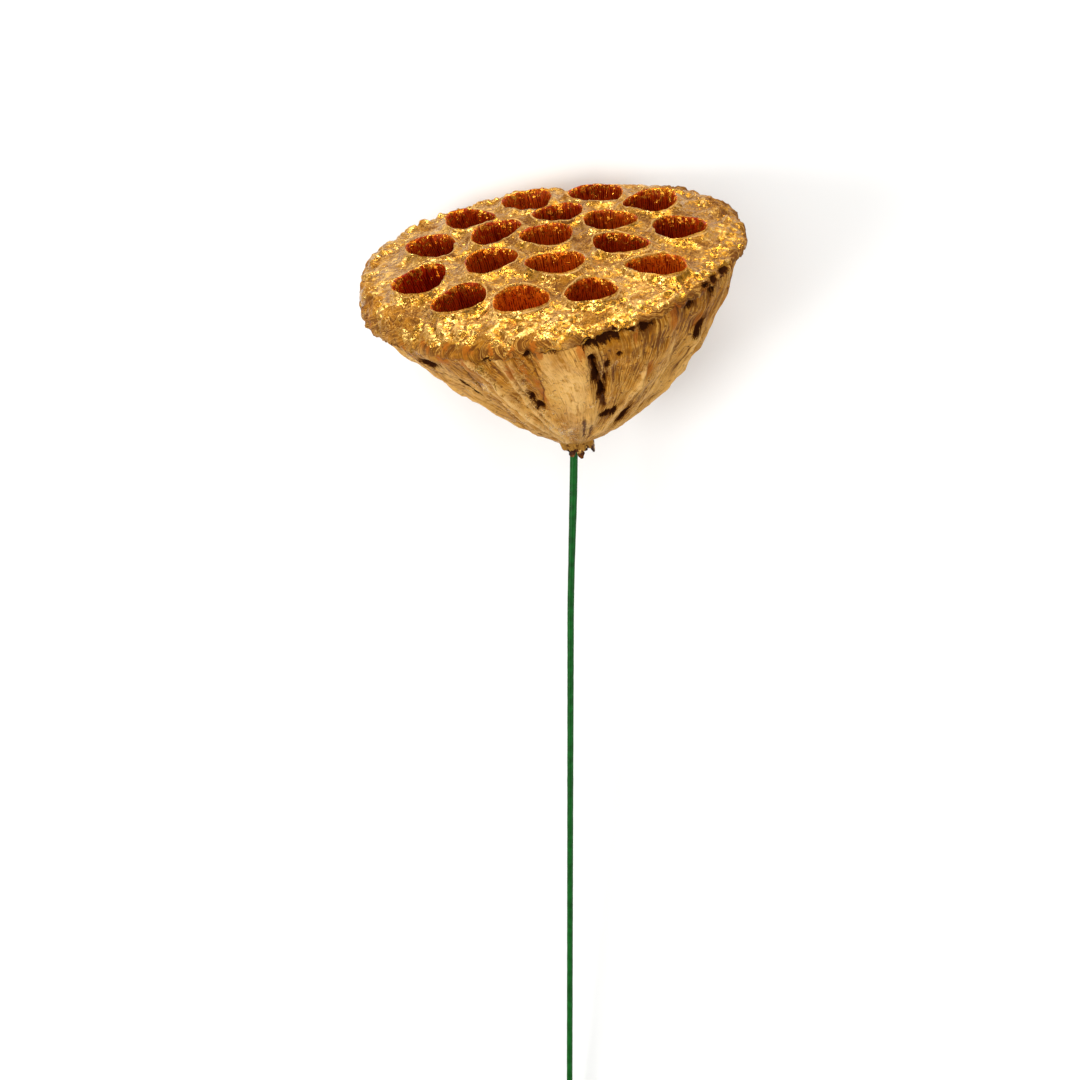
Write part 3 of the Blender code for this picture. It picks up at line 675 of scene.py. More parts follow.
def add_cell(skin, cell, mouth):
    """Walls and floor of one seed cell, below its mouth."""
    rings = [mouth[::-1]]
    top = float(dome_height(cell[0], cell[1]))
    degrees = ring_degrees(AROUND_CELL)
    for depth in CELL_ROW_DEPTHS:
        share = depth / CELL_DEPTH
        places = cell_ring(cell, AROUND_CELL, along(CELL_PROFILE, share), share)
        collar = COLLAR_HEIGHT * math.exp(-depth / COLLAR_FALL)
        points = np.column_stack((places, np.full(AROUND_CELL, top - depth + collar)))
        rings.append(skin.ring(points, CELL, degrees, share)[::-1])
    skin.bridge_all(rings)
    keep = 1.0 - CELL_LEAN
    skin.cap(rings[-1], (cell[0] * keep, cell[1] * keep, top - CELL_DEPTH), CELL, 1.0)


def rim_reach(degrees):
    """How far the rim reaches from the pod's axis."""
    return around(RIM_RADIUS, degrees) + RIM_RUFFLE * ruffle(degrees)


def lip_rings(skin, degrees):
    """Rings of the lip, from the face's edge, over the roll and back under it."""
    inner = around(FACE_EDGE, degrees)
    start = np.array((inner, dome_height(inner, 0.0)))
    hang = around(LIP_DEPTH, degrees) - LIP_RUFFLE * ruffle(degrees + math.degrees(LIP_RUFFLE_SHIFT))
    edge = np.array((rim_reach(degrees), -hang))
    bend = start + (edge - start) * np.array((around(ROLL_REACH, degrees), around(ROLL_DROP, degrees)))
    sections = []
    for share in np.arange(1, LIP_ROWS + 1) / LIP_ROWS:
        section = (1 - share) ** 2 * start + 2 * share * (1 - share) * bend + share ** 2 * edge
        sections.append((section, share - 1))
    for inward, under in LIP_UNDERSIDE:
        sections.append((edge - np.array([[inward], [under]]) * LIP_THICKNESS, 0.0))
    return [
        skin.ring(polar(radius, degrees, height), LIP, degrees, down)
        for (radius, height), down in sections
    ]


def fold_height(degrees, level):
    """How far the wall stands out, for its folds and ribs."""
    swell = math.sin(math.pi * level)
    height = np.zeros_like(degrees)
    for upper, lower, rise, width in RIDGES:
        turn = turn_between(degrees, upper + turn_between(lower, upper) * level)
        height += rise * np.exp(-(turn / width) ** 2) * (RIDGE_ENDS + (1 - RIDGE_ENDS) * swell)
    for middle, down, depth, width in DENTS:
        turn = turn_between(degrees, middle)
        height -= depth * np.exp(-(turn / width) ** 2 - ((level - down) / DENT_LENGTH) ** 2)
    bearing = np.radians(degrees)
    wander = sum(size * np.sin(count * bearing + start) for count, size, start in RIB_WANDER)
    return height + RIB_HEIGHT * np.sin(RIB_COUNT * bearing + wander) * math.sqrt(max(swell, 0.0))


def wall_points(degrees, level):
    """Points round the wall, at a share of the way from the lip down to the stub."""
    left = (1 - np.cos(np.radians(degrees))) / 2
    pairs = (WALL_RADIUS, WALL_SHOULDER, WALL_FOOT)
    widest, shoulder, foot = (at_right + (at_left - at_right) * left for at_right, at_left in pairs)
    under_lip = around(LIP_DEPTH, degrees)
    depth = under_lip + (POD_DEPTH - under_lip) * level
    share = np.maximum(0.0, (depth - WALL_TOP) / (POD_DEPTH - WALL_TOP))
    radius = STUB_RADIUS + (widest - STUB_RADIUS) * (1 - share ** shoulder) ** foot
    radius = np.minimum(radius, rim_reach(degrees) - LIP_OVERHANG)
    radius += fold_height(degrees, level) * np.minimum(1.0, radius / FOLD_FADE_RADIUS)
    drift = (depth / POD_DEPTH) ** STUB_DRIFT
    return polar(radius, degrees, -depth) + drift[:, None] * np.array((*STUB_CENTRE, 0.0))


def wall_rings(skin):
    """Rings of the wall, with fewer points near the stub."""
    top, bottom = WALL_SPAN
    upper = top + (LOWER_WALL_START - top) * np.arange(WALL_ROWS) / WALL_ROWS
    lower = np.linspace(LOWER_WALL_START, bottom, LOWER_WALL_ROWS + 1)
    rings = []
    for level in (*upper, *lower):
        coarseness = 1 if level < LOWER_WALL_START else 2 if level < COARSEST_WALL_START else 4
        degrees = ring_degrees(AROUND // coarseness)
        rings.append(skin.ring(wall_points(degrees, level), WALL, degrees, level))
    return rings


def stub_rings(skin):
    """Rings of the stub, which narrows a little and ends in an uneven torn edge."""
    degrees = ring_degrees(STUB_SIDES)
    rings = []
    for share in np.arange(1, STUB_ROWS + 1) / STUB_ROWS:
        depth = POD_DEPTH + (STUB_END - POD_DEPTH) * share
        radius = STUB_RADIUS + (STUB_END_RADIUS - STUB_RADIUS) * share
        tear = STUB_RAGGEDNESS * ruffle(2 * degrees) * share
        points = polar(radius + STUB_LUMPS * ruffle(3 * degrees), degrees, tear - depth)
        rings.append(skin.ring(points + np.array((*STUB_CENTRE, 0.0)), STUB, degrees, 1.0))
    return rings


def pod_rotation():
    """Turn from the pod's own frame to the way it lies."""
    rise = math.radians(AXIS_RISE)
    turn = math.radians(AXIS_TURN)
    right = Vector((math.cos(turn), math.sin(turn), 0.0))
    axis = Vector((-math.sin(turn) * math.cos(rise), math.cos(turn) * math.cos(rise), math.sin(rise)))
    return np.array(Matrix((right, axis.cross(right), axis)).transposed())


def laid(points):
    """Points of the pod's own frame, in millimetres, where the pod lies."""
    return points @ pod_rotation().T + np.array(FACE_CENTRE)


def in_pod_frame(points):
    """Points where the pod lies, in the pod's own frame."""
    return (points - np.array(FACE_CENTRE)) @ pod_rotation()


def wire_exit():
    """Where the wire leaves the stub."""
    return laid(np.array((*WIRE_EXIT, -STUB_END)))


def wire_direction():
    """Direction in which the wire leaves the pod, down to where its end meets the floor."""
    slope = math.asin((wire_exit()[2] - along(COAT_RADIUS, WIRE_LENGTH)) / (WIRE_LENGTH - WIRE_IN_POD))
    return np.array((0.0, -math.cos(slope), -math.sin(slope)))


def wire_point(outside):
    """Point of the wire at a distance from where it leaves the pod, drifting slightly sideways."""
    share = min(1.0, max(0.0, outside / WIRE_DRIFT_LENGTH))
    drift = WIRE_DRIFT * share * share * (3 - 2 * share)
    return wire_exit() + wire_direction() * outside + np.array((drift, 0.0, 0.0))


def ring_across(centre, radius, count):
    """Points round the wire's line, square to the direction in which it leaves."""
    side = np.array((1.0, 0.0, 0.0))
    over = np.cross(wire_direction(), side)
    angle = np.radians(ring_degrees(count))[:, None]
    return centre + (side * np.cos(angle) + over * np.sin(angle)) * np.reshape(radius, (-1, 1))


def add_wire_hole(skin, stub_edge):
    """Blind hole in the stub for the wire, drawn from the ragged end inwards."""
    rings = [stub_edge]
    for depth in (0.0, HOLE_MOUTH, HOLE_DEPTH):
        centre = wire_exit() - wire_direction() * depth
        ring = in_pod_frame(ring_across(centre, HOLE_RADIUS, HOLE_SIDES))
        angle = np.arctan2(*(ring - ring.mean(axis=0)).T[1::-1]) % (2 * math.pi)
        rings.append(skin.ring(ring[np.argsort(angle)], STUB, 0.0, 1.0))
    skin.bridge_all(rings)
    skin.cap(rings[-1], in_pod_frame(centre), STUB, 1.0)


def line_places(skin, line):
    """Distance in millimetres from each point of the wall to a line of (bearing, way down) points,
    and how far each point is past the line, in the sense of rising bearings."""
    radius = np.maximum(LEAST_RADIUS, skin.radius)
    least = np.full(len(skin.points), np.inf)
    past = np.zeros(len(skin.points))
    for (bearing, down), (next_bearing, next_down) in zip(line, line[1:]):
        across = np.radians(turn_between(skin.bearings, bearing)) * radius
        along_wall = (skin.downs - down) * WALL_LENGTH
        reach = np.radians(next_bearing - bearing) * radius
        length = (next_down - down) * WALL_LENGTH
        share = np.clip((across * reach + along_wall * length) / (reach * reach + length * length), 0.0, 1.0)
        off = across - share * reach
        far = np.hypot(off, along_wall - share * length)
        nearer = far < least
        least[nearer] = far[nearer]
        past[nearer] = off[nearer]
    return least, past


def on_lines(skin, sign):
    """Height of the cords where sign is 1, or depth of the cracks where it is -1, and their paleness."""
    total = np.zeros(len(skin.points))
    pale = np.zeros(len(skin.points))
    frayed = 1 + bumps(skin.points, CORD_FRAY)
    for height, width, paleness, line in CORDS:
        if height * sign > 0:
            far, _ = line_places(skin, line)
            shape = np.exp(-(far / (width * frayed)) ** 2)
            total = np.maximum(total, abs(height) * shape)
            pale = np.maximum(pale, paleness * shape)
    return total, pale


def overlap_height(skin):
    """How far the left side of each overlapping fold stands over its right side."""
    total = np.zeros(len(skin.points))
    for height, reach, line in OVERLAPS:
        far, past = line_places(skin, line)
        side = 1 - smooth_step(past, -OVERLAP_EDGE / 2, OVERLAP_EDGE / 2)
        starts = smooth_step(skin.downs, *(line[0][1] + shift for shift in OVERLAP_START))
        stops = smooth_step(skin.downs, *(line[-1][1] + shift for shift in OVERLAP_STOP))
        total += height * side * np.exp(-(np.minimum(past, 0.0) / reach) ** 2) * starts * (1 - stops)
    return total


def rim_weight(skin):
    """How near each point is to the rim, where the face turns over into the lip, from 0 to 1."""
    on_face = np.exp(-(inside_edge(skin.x, skin.y) / RIM_WIDTH) ** 2)
    on_lip = np.exp(-((skin.downs + 1) / RIM_ROLL) ** 2)
    return np.select([skin.on(FACE), skin.on(LIP)], [on_face, on_lip], 0.0)


def edge_weight(skin):
    """How near each point is to the free edge of the lip, from 0 to 1."""
    return np.where(skin.on(LIP), smooth_step(skin.downs, *EDGE_START), 0.0)


def fibre_places(skin):
    """Places for noise that runs in fibres down the lip and the wall, and in ribs down the cells."""
    swirl = np.degrees(FIBRE_SWIRL * np.sin(3 * skin.downs + 2 * np.radians(skin.bearings)))
    length = FIBRE_STRETCH * np.where(skin.downs > 0, skin.downs, skin.downs * LIP_STRETCH)
    drawn_out = polar(FIBRE_RADIUS, skin.bearings + swirl, length)
    turned = smooth_step(skin.downs, *LIP_TURN)
    share = np.select([skin.on(LIP), skin.on(WALL, STUB)], [turned, 1.0], 0.0)
    places = skin.points + share[:, None] * (drawn_out - skin.points)
    places[skin.on(CELL), 2] /= CELL_STRETCH
    return places


def face_relief(skin):
    """Height of the crumpled gold leaf over the face and the lip, with the notch in the rim."""
    points = skin.points
    bearing, width, depth = RIM_NOTCH
    turn = turn_between(np.degrees(np.arctan2(skin.y, skin.x)), bearing)
    rim = bumps(points, RIM_KNOBS) - depth * np.exp(-(turn / width) ** 2)
    height = bumps(points, FACE_LUMPS) + folds(points, FOIL_FOLDS) + folds(points, FOIL_CREASES)
    return height + rim * rim_weight(skin) + bumps(points, LIP_KNOBS) * edge_weight(skin)


def wall_relief(skin):
    """Height of the fibres, cords, cracks, overlapping folds and lumps of the wall."""
    grain = fibre_places(skin)
    fibres = folds(grain, FIBRE_CORDS) + bumps(grain, FIBRE_BUNDLES) + bumps(grain, FIBRES)
    drawn = on_lines(skin, 1)[0] - on_lines(skin, -1)[0] + overlap_height(skin)
    fade = np.minimum(1.0, skin.radius / FOLD_FADE_RADIUS)
    return (fibres + bumps(skin.points, WALL_LUMPS) + drawn) * fade


def cell_relief(skin):
    """Height of the ribs down a cell, strongest between its mouth and its floor."""
    ribs = CELL_RIB_HEIGHT * np.sin(np.radians(skin.bearings) * CELL_RIBS)
    return ribs * smooth_step(skin.downs, *CELL_RIB_START) * (1 - smooth_step(skin.downs, *CELL_RIB_STOP))


def relieve(skin):
    """Add the relief of the dried, gilded skin. Returns the points, and the height of the relief."""
    points = skin.points
    kinds = [skin.on(FACE, LIP), skin.on(CELL)]
    height = np.select(kinds, [face_relief(skin), cell_relief(skin)], wall_relief(skin))
    height -= MARK_PIT * marks_on(skin, DARK_MARKS)
    size, reach, *shifts = POINT_WANDER
    wander = np.column_stack([field(points, size, shift) for shift in shifts])
    moved = points + normals_of(points, skin.triangles) * height[:, None] + reach * wander
    round_rim = points * (1.0, 1.0, 0.0)
    moved[:, 2] += (bumps(round_rim, EDGE_TEARS) + bumps(round_rim, EDGE_NICKS)) * edge_weight(skin)
    return moved, height


def pulled_back(over):
    """How far places over a limit less its margin are moved, so that they never pass the limit."""
    return np.where(over > 0, BOX_MARGIN * np.tanh(over / BOX_MARGIN) - over, 0.0)


def keep_in_box(points):
    """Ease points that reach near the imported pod's box back inside it, and flatten what rests."""
    low, high = (np.array(corner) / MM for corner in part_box("pod"))
    eased = pulled_back(points - high + BOX_MARGIN) - pulled_back(low + BOX_MARGIN - points)
    eased[points[:, 2] < BOX_MARGIN, 2] = 0.0
    points = points + eased
    points[:, 2] = np.maximum(points[:, 2], 0.0)
    return points


def marks_on(skin, marks):
    """Strength of a list of worn marks at each point of the lip and the wall."""
    total = np.zeros(len(skin.points))
    for bearing, down, width, length, strength in marks:
        far = (turn_between(skin.bearings, bearing) / width) ** 2 + ((skin.downs - down) / length) ** 2
        total = np.maximum(total, strength * np.exp(-MARK_FALL * far))
    return np.where(skin.on(FACE, CELL), 0.0, total * (1 + bumps(skin.points, MARK_WEAR)))


def leaf_cover(skin):
    """How fully the gold leaf covers each point of the skin, from 0 to 1."""
    patches = bumps(skin.points, LEAF_PATCHES) + bumps(skin.points, LEAF_FRAYS)
    from_mouth, width, height = LEAF_ROUND_MOUTHS
    collars = height * np.exp(-((nearest_mouth(skin.x, skin.y) - from_mouth) / width) ** 2)
    on_face = rise(skin.radius, LEAF_AT_MARGIN) - rise(skin.x, LEAF_WORN_RIGHT) + collars
    on_lip = -rise(skin.downs, LEAF_WORN_EDGE)
    on_wall = rise(-np.cos(np.radians(skin.bearings - LEAF_TURN)), LEAF_ON_LEFT)
    on_wall -= LEAF_OFF_PALE * marks_on(skin, PALE_MARKS)
    parts = zip((on_face, on_lip, on_wall), LEAF_COVER)
    covers = [mean + share * patches + own for own, (mean, share) in parts]
    return np.clip(np.select([skin.on(FACE), skin.on(LIP)], covers[:2], covers[2]), 0.0, 1.0)


def stain_and_shade(skin):
    """How stained each point is: by marks on the wall, duller at the face's middle, and darker at the face's
    right as painted shade.
    """
    radius, height = DULL_MIDDLE
    # The rise towards the face's right darkens it as painted shade.
    dull_and_shade = rise(skin.x, SHADE_ON_RIGHT) + height * np.exp(-(skin.radius / radius) ** 4)
    gilded = STAIN_ON_FACE + STAIN_ON_EDGE * edge_weight(skin) + dull_and_shade
    return np.where(skin.on(FACE, LIP), gilded, marks_on(skin, STAIN_MARKS))


def cell_warmth(skin):
    """How orange the lining of the seed cell at each point is."""
    distances = [mouth_distance(cell, skin.x, skin.y) for cell in CELLS]
    return np.array(CELL_WARMTH)[np.argmin(distances, axis=0)]


def add_mesh(name, points, triangles, materials):
    """Object from points in millimetres and triangles."""
    mesh = bpy.data.meshes.new(name)
    mesh.from_pydata((np.asarray(points) * MM).tolist(), [], np.asarray(triangles).tolist())
    for material in materials:
        mesh.materials.append(material)
    mesh.shade_smooth()
    item = bpy.data.objects.new(name, mesh)
    bpy.context.scene.collection.objects.link(item)
    return item


def store(mesh, name, values):
    """Keep a number, or three, for each point of a mesh, for its material to read."""
    values = np.asarray(values, np.float32)
    if values.ndim == 1:
        mesh.attributes.new(name, "FLOAT", "POINT").data.foreach_set("value", values)
    else:
        mesh.attributes.new(name, "FLOAT_VECTOR", "POINT").data.foreach_set("vector", values.ravel())


def skin_facts(skin, height):
    """What the pod's materials read at each point, by name."""
    cracks, _ = on_lines(skin, -1)
    _, pale_cords = on_lines(skin, 1)
    from_mouth = np.abs(nearest_mouth(skin.x, skin.y))
    reach = np.where(skin.on(CELL), 2 * CELL_RIB_HEIGHT, RELIEF_REACH)
    return {
        "leaf": leaf_cover(skin),
        "dark": marks_on(skin, DARK_MARKS),
        "rust": marks_on(skin, RUST_MARKS),
        "stain_and_shade": stain_and_shade(skin),
        "pale": np.maximum(marks_on(skin, PALE_MARKS), pale_cords * skin.on(WALL)),
        "crack_and_shadow": cracks * skin.on(WALL),
        "grain": fibre_places(skin),
        "depth": np.where(skin.on(CELL), skin.downs, 0.0),
        "warm": np.where(skin.on(CELL), cell_warmth(skin), 0.0),
        "rim": np.where(skin.on(FACE), np.exp(-(from_mouth / RIM_BAND) ** 2), 0.0),
        "high": np.clip(0.5 + height / reach, 0.0, 1.0),
    }


def make_pod():
    """The whole pod, as one closed skin."""
    skin = Skin()
    face_edge, *mouths = add_face(skin)
    for cell, mouth in zip(CELLS, mouths):
        add_cell(skin, cell, mouth)
    rings = [face_edge, *lip_rings(skin, ring_degrees(AROUND)), *wall_rings(skin), *stub_rings(skin)]
    skin.bridge_all(rings)
    add_wire_hole(skin, rings[-1])
    skin.settle()
    moved, height = relieve(skin)
    item = add_mesh("pod_skin", keep_in_box(laid(moved)), skin.triangles, [gilded_skin(), cell_lining()])
    lined = skin.on(CELL)[skin.triangles].all(axis=1)
    item.data.polygons.foreach_set("material_index", lined.astype(np.int32))
    for name, values in skin_facts(skin, height).items():
        store(item.data, name, values)
    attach(item, "root")
    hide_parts("pod")


def make_shreds():
    """Torn brown shreds round the end of the stub."""
    draw = random.Random(SHRED_SEED)
    skin = Skin()
    for index in range(SHREDS):
        bearing = 2 * math.pi * (index + draw.uniform(-SHRED_SPREAD, SHRED_SPREAD)) / SHREDS
        outward = np.array((math.cos(bearing), math.sin(bearing), 0.0))
        sideways = np.array((-math.sin(bearing), math.cos(bearing), 0.0))
        lean = math.radians(draw.uniform(*SHRED_LEAN))
        length = draw.uniform(*SHRED_LENGTH)
        width = draw.uniform(*SHRED_WIDTH)
        middle = np.array((*STUB_CENTRE, SHRED_ROOT_HEIGHT)) + outward * draw.uniform(*SHRED_ROOT_RADIUS)
        rings = []
        for step in range(SHRED_STEPS + 1):
            share = step / SHRED_STEPS
            out = outward * math.sin(lean * share) - np.array((0.0, 0.0, math.cos(lean * share)))
            middle = middle + out * length / SHRED_STEPS + sideways * draw.uniform(-SHRED_SWAY, SHRED_SWAY)
            half = sideways * width / 2 * (1 - SHRED_TAPER * share ** 2) * draw.uniform(*SHRED_UNEVENNESS)
            thick = np.cross(out, sideways) * SHRED_THICKNESS / 2
            corners = (half + thick, thick - half, -half - thick, half - thick)
            rings.append(skin.ring([middle + corner for corner in corners], STUB))
        root = skin.points[-SHRED_STEPS - 1].mean(axis=0)
        skin.bridge_all(rings)
        skin.cap(rings[-1], middle, STUB)
        skin.cap(rings[0][::-1], root, STUB)
    skin.settle()
    item = add_mesh("stub_shreds", laid(skin.points), skin.triangles, [torn_brown()])
    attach(item, "root")


def tube(name, stops, sides, material, bore=None):
    """Closed tube or rod through (point, radius) stops, with an open bore or with flat ends."""
    skin = Skin()
    outer = [skin.ring(ring_across(point, radius, sides), WALL)[::-1] for point, radius in stops]
    if bore is None:
        skin.bridge_all(outer)
        skin.cap(outer[-1], stops[-1][0], WALL)
        skin.cap(outer[0][::-1], stops[0][0], WALL)
    else:
        inner = [skin.ring(ring_across(point, bore, sides), WALL)[::-1] for point, _ in stops]
        skin.bridge_all(outer + inner[::-1] + outer[:1])
    skin.settle()
    return add_mesh(name, skin.points, skin.triangles, [material])


def make_stem():
    """The steel wire and its green coat."""
    angles = np.radians(ring_degrees(COAT_SIDES))
    stops = []
    for distance in np.linspace(0.0, WIRE_LENGTH, STEM_STOPS):
        point = wire_point(min(distance, WIRE_LENGTH - END_SETBACK) - WIRE_IN_POD)
        waves = [noise.noise((math.cos(angle), math.sin(angle), distance / COAT_WAVE)) for angle in angles]
        stops.append((point, along(COAT_RADIUS, distance) + COAT_UNEVENNESS * (np.array(waves) - 0.5)))
    coat = tube("stem_coat", stops, COAT_SIDES, green_coat(), COAT_BORE_RADIUS)
    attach(coat, "root")
    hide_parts("stem_sleeve")
    core_stops = [(point, WIRE_RADIUS) for point, _ in stops[::CORE_STOP_EVERY]]
    core = tube("stem_core", core_stops, CORE_SIDES, bare_steel())
    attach(core, "root")
    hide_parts("stem_wire")


class Nodes:
    """Short ways to add and join the nodes of one material."""

    def __init__(self, name):
        self.material = bpy.data.materials.new(name)
        self.material.use_nodes = True
        self.tree = self.material.node_tree
        self.shader = self.tree.nodes["Principled BSDF"]

    def add(self, kind, inputs=(), **settings):
        """Add a node, and set or join its inputs."""
        node = self.tree.nodes.new(kind)
        for name, value in settings.items():
            setattr(node, name, value)
        for name, value in dict(inputs).items():
            self.put(node.inputs[name], value)
        return node

    def put(self, socket, value):
        """Set a socket, or join another node's output to it."""
        if isinstance(value, bpy.types.NodeSocket):
            self.tree.links.new(value, socket)
        else:
            socket.default_value = value

    def stored(self, name, output="Fac"):
        """What the mesh keeps under a name."""
        return self.add("ShaderNodeAttribute", attribute_name=name).outputs[output]

    def millimetres(self):
        """Place in the object, in millimetres."""
        return self.vector("SCALE", self.add("ShaderNodeTexCoord").outputs["Object"], 1 / MM)

    def noise(self, vector, scale, detail=3.0, roughness=0.55, distortion=0.0):
        """Noise between 0 and 1."""
        inputs = {"Vector": vector, "Scale": scale, "Detail": detail, "Roughness": roughness}
        inputs["Distortion"] = distortion
        return self.add("ShaderNodeTexNoise", inputs).outputs["Fac"]

    def sum(self, total, *others):
        """First plus others, each given with its share."""
        for value, share in others:
            inputs = {0: value, 1: share, 2: total}
            total = self.add("ShaderNodeMath", inputs, operation="MULTIPLY_ADD").outputs[0]
        return total

    def product(self, first, second):
        """First times second."""
        return self.add("ShaderNodeMath", {0: first, 1: second}, operation="MULTIPLY").outputs[0]

    def step(self, value, low, high, bottom=0.0, top=1.0):
        """Smooth rise from bottom to top as the value goes from low to high."""
        inputs = {"Value": value, "From Min": low, "From Max": high, "To Min": bottom, "To Max": top}
        return self.add("ShaderNodeMapRange", inputs, interpolation_type="SMOOTHSTEP").outputs["Result"]

    def blend(self, share, first, second):
        """Colour between two."""
        node = self.add("ShaderNodeMix", data_type="RGBA")
        for index, value in ((0, share), (6, first), (7, second)):
            self.put(node.inputs[index], value)
        return node.outputs[2]

    def lay(self, name, value, under, colour, within=None):
        """A colour over another, as far as a layer's value and what it keeps within let it cover."""
        cover = self.step(value, *LAYERS[name])
        return self.blend(cover if within is None else self.product(cover, within), under, colour)

    def bump(self, height, distance):
        """Normal of a surface with fine relief, whose whole height is the distance."""
        return self.add("ShaderNodeBump", {"Height": height, "Distance": distance}).outputs["Normal"]

    def vector(self, operation, first, second):
        """Sum, product or scaling of vectors."""
        name = "Scale" if operation == "SCALE" else 1
        return self.add("ShaderNodeVectorMath", {0: first, name: second}, operation=operation).outputs[0]

    def shaken(self, vector, scale, reach):
        """Places shifted by noise, so that what is drawn on them isn't straight."""
        node = self.add("ShaderNodeTexNoise", {"Vector": vector, "Scale": scale, "Detail": 2.0})
        shift = self.vector("SUBTRACT", node.outputs["Color"], MIDDLE_GREY)
        return self.vector("ADD", vector, self.vector("SCALE", shift, reach))

    def facets(self, vector, scales):
        """Random tilts, around zero, of the facets of a crumpled leaf, in two sizes."""
        tilts = []
        for scale in scales:
            node = self.add("ShaderNodeTexVoronoi", {"Vector": vector, "Scale": scale})
            tilts.append(self.vector("SUBTRACT", node.outputs["Color"], MIDDLE_GREY))
        return self.vector("ADD", *tilts)

    def part(self, vector, name):
        """One part of a vector."""
        return self.add("ShaderNodeSeparateXYZ", {0: vector}).outputs[name]

    def crumpled(self, normal, facets, share):
        """A normal turned from facet to facet."""
        turned = self.vector("ADD", normal, self.vector("SCALE", facets, share))
        return self.vector("NORMALIZE", turned, (0, 0, 0))

    def finish(self, **inputs):
        """Join the shader's own inputs, named with underscores, and give the material."""
        for name, value in inputs.items():
            self.put(self.shader.inputs[name.replace("_", " ")], value)
        return self.material


def skin_patterns(nodes):
    """What the layers of the gilded skin share: places, stored facts and noises."""
    place = nodes.millimetres()
    fibrous = nodes.vector("MULTIPLY", nodes.stored("grain", "Vector"), GRAIN_SCALE)
    noises = {name: nodes.noise(fibrous, *shape) for name, shape in FIBROUS_NOISES.items()}
    noises.update({name: nodes.noise(place, *shape) for name, shape in EVEN_NOISES.items()})
    return SimpleNamespace(place=place, high=nodes.stored("high"), stain_and_shade=nodes.stored("stain_and_shade"), **noises)


def bare_skin(nodes, seen):
    """Colour of the dried skin below the leaf, from its ground up."""
    # The relief's height makes the crests beige and the hollows tan: painted shade.
    ground = nodes.sum(seen.fibres, (seen.flecks, 0.4), (seen.high, 0.7), (seen.stain_and_shade, -0.08))
    skin = nodes.lay("beige", ground, TAN, BEIGE)
    # The stain value, which holds painted shade at the face's right, makes the skin more ochre and umber
    # there.
    stained = nodes.sum(seen.patches, (seen.mottle, 0.6), (seen.stain_and_shade, 0.30))
    skin = nodes.lay("ochre", stained, skin, OCHRE)
    skin = nodes.lay("umber", seen.mottle, skin, UMBER, seen.stain_and_shade)
    # Brown stripes gather in the hollows and where the stain value is high: partly fibres, partly painted
    # shade.
    stripes = nodes.sum(seen.streaks, (seen.high, 0.5), (seen.stain_and_shade, -0.12))
    skin = nodes.lay("stripes", stripes, skin, BROWN)
    threads = nodes.sum(seen.threads, (seen.mottle, 0.35))
    bundles = nodes.step(seen.bundles, *LAYERS["bundles"])
    skin = nodes.lay("light threads", threads, skin, STRAW, bundles)
    skin = nodes.lay("specks", nodes.sum(seen.specks, (seen.flecks, 0.2)), skin, BROWN)
    skin = nodes.lay("pale", nodes.sum(seen.mottle, (seen.fibres, 0.7)), skin, PALE, nodes.stored("pale"))
    skin = nodes.lay("dark threads", threads, skin, BROWN, bundles)
    skin = nodes.lay("rim", nodes.sum(nodes.stored("rim"), (seen.flecks, 1.2)), skin, PALE)
    frayed = nodes.sum(seen.streaks, (seen.threads, 0.7), (seen.flecks, 0.4))
    return nodes.lay("rust", nodes.sum(nodes.stored("rust"), (frayed, 1.6)), skin, RUST)


def gold_leaf(nodes, seen, facets):
    """Colour of the crumpled leaf: lighter on some facets, brighter on its crests and darker in its hollows
    as painted light and shade, and umber in its hollows, partly soil and partly painted shade.
    """
    # The relief's height paints the crests brighter gold and the hollows deeper: painted light and shade. The
    # stain value, which holds painted shade at the face's right, deepens the gold there.
    uneven = nodes.sum(seen.high, (seen.patches, 0.6))
    tone = nodes.sum(nodes.part(facets, "X"), (uneven, 0.8), (seen.stain_and_shade, -0.36))
    gold = nodes.lay("bright gold", tone, GOLD_DEEP, GOLD)
    # Umber in the hollows is partly soil and partly painted shade.
    return nodes.lay("soiled and shaded gold", nodes.sum(seen.flecks, (seen.high, 0.3)), gold, UMBER)


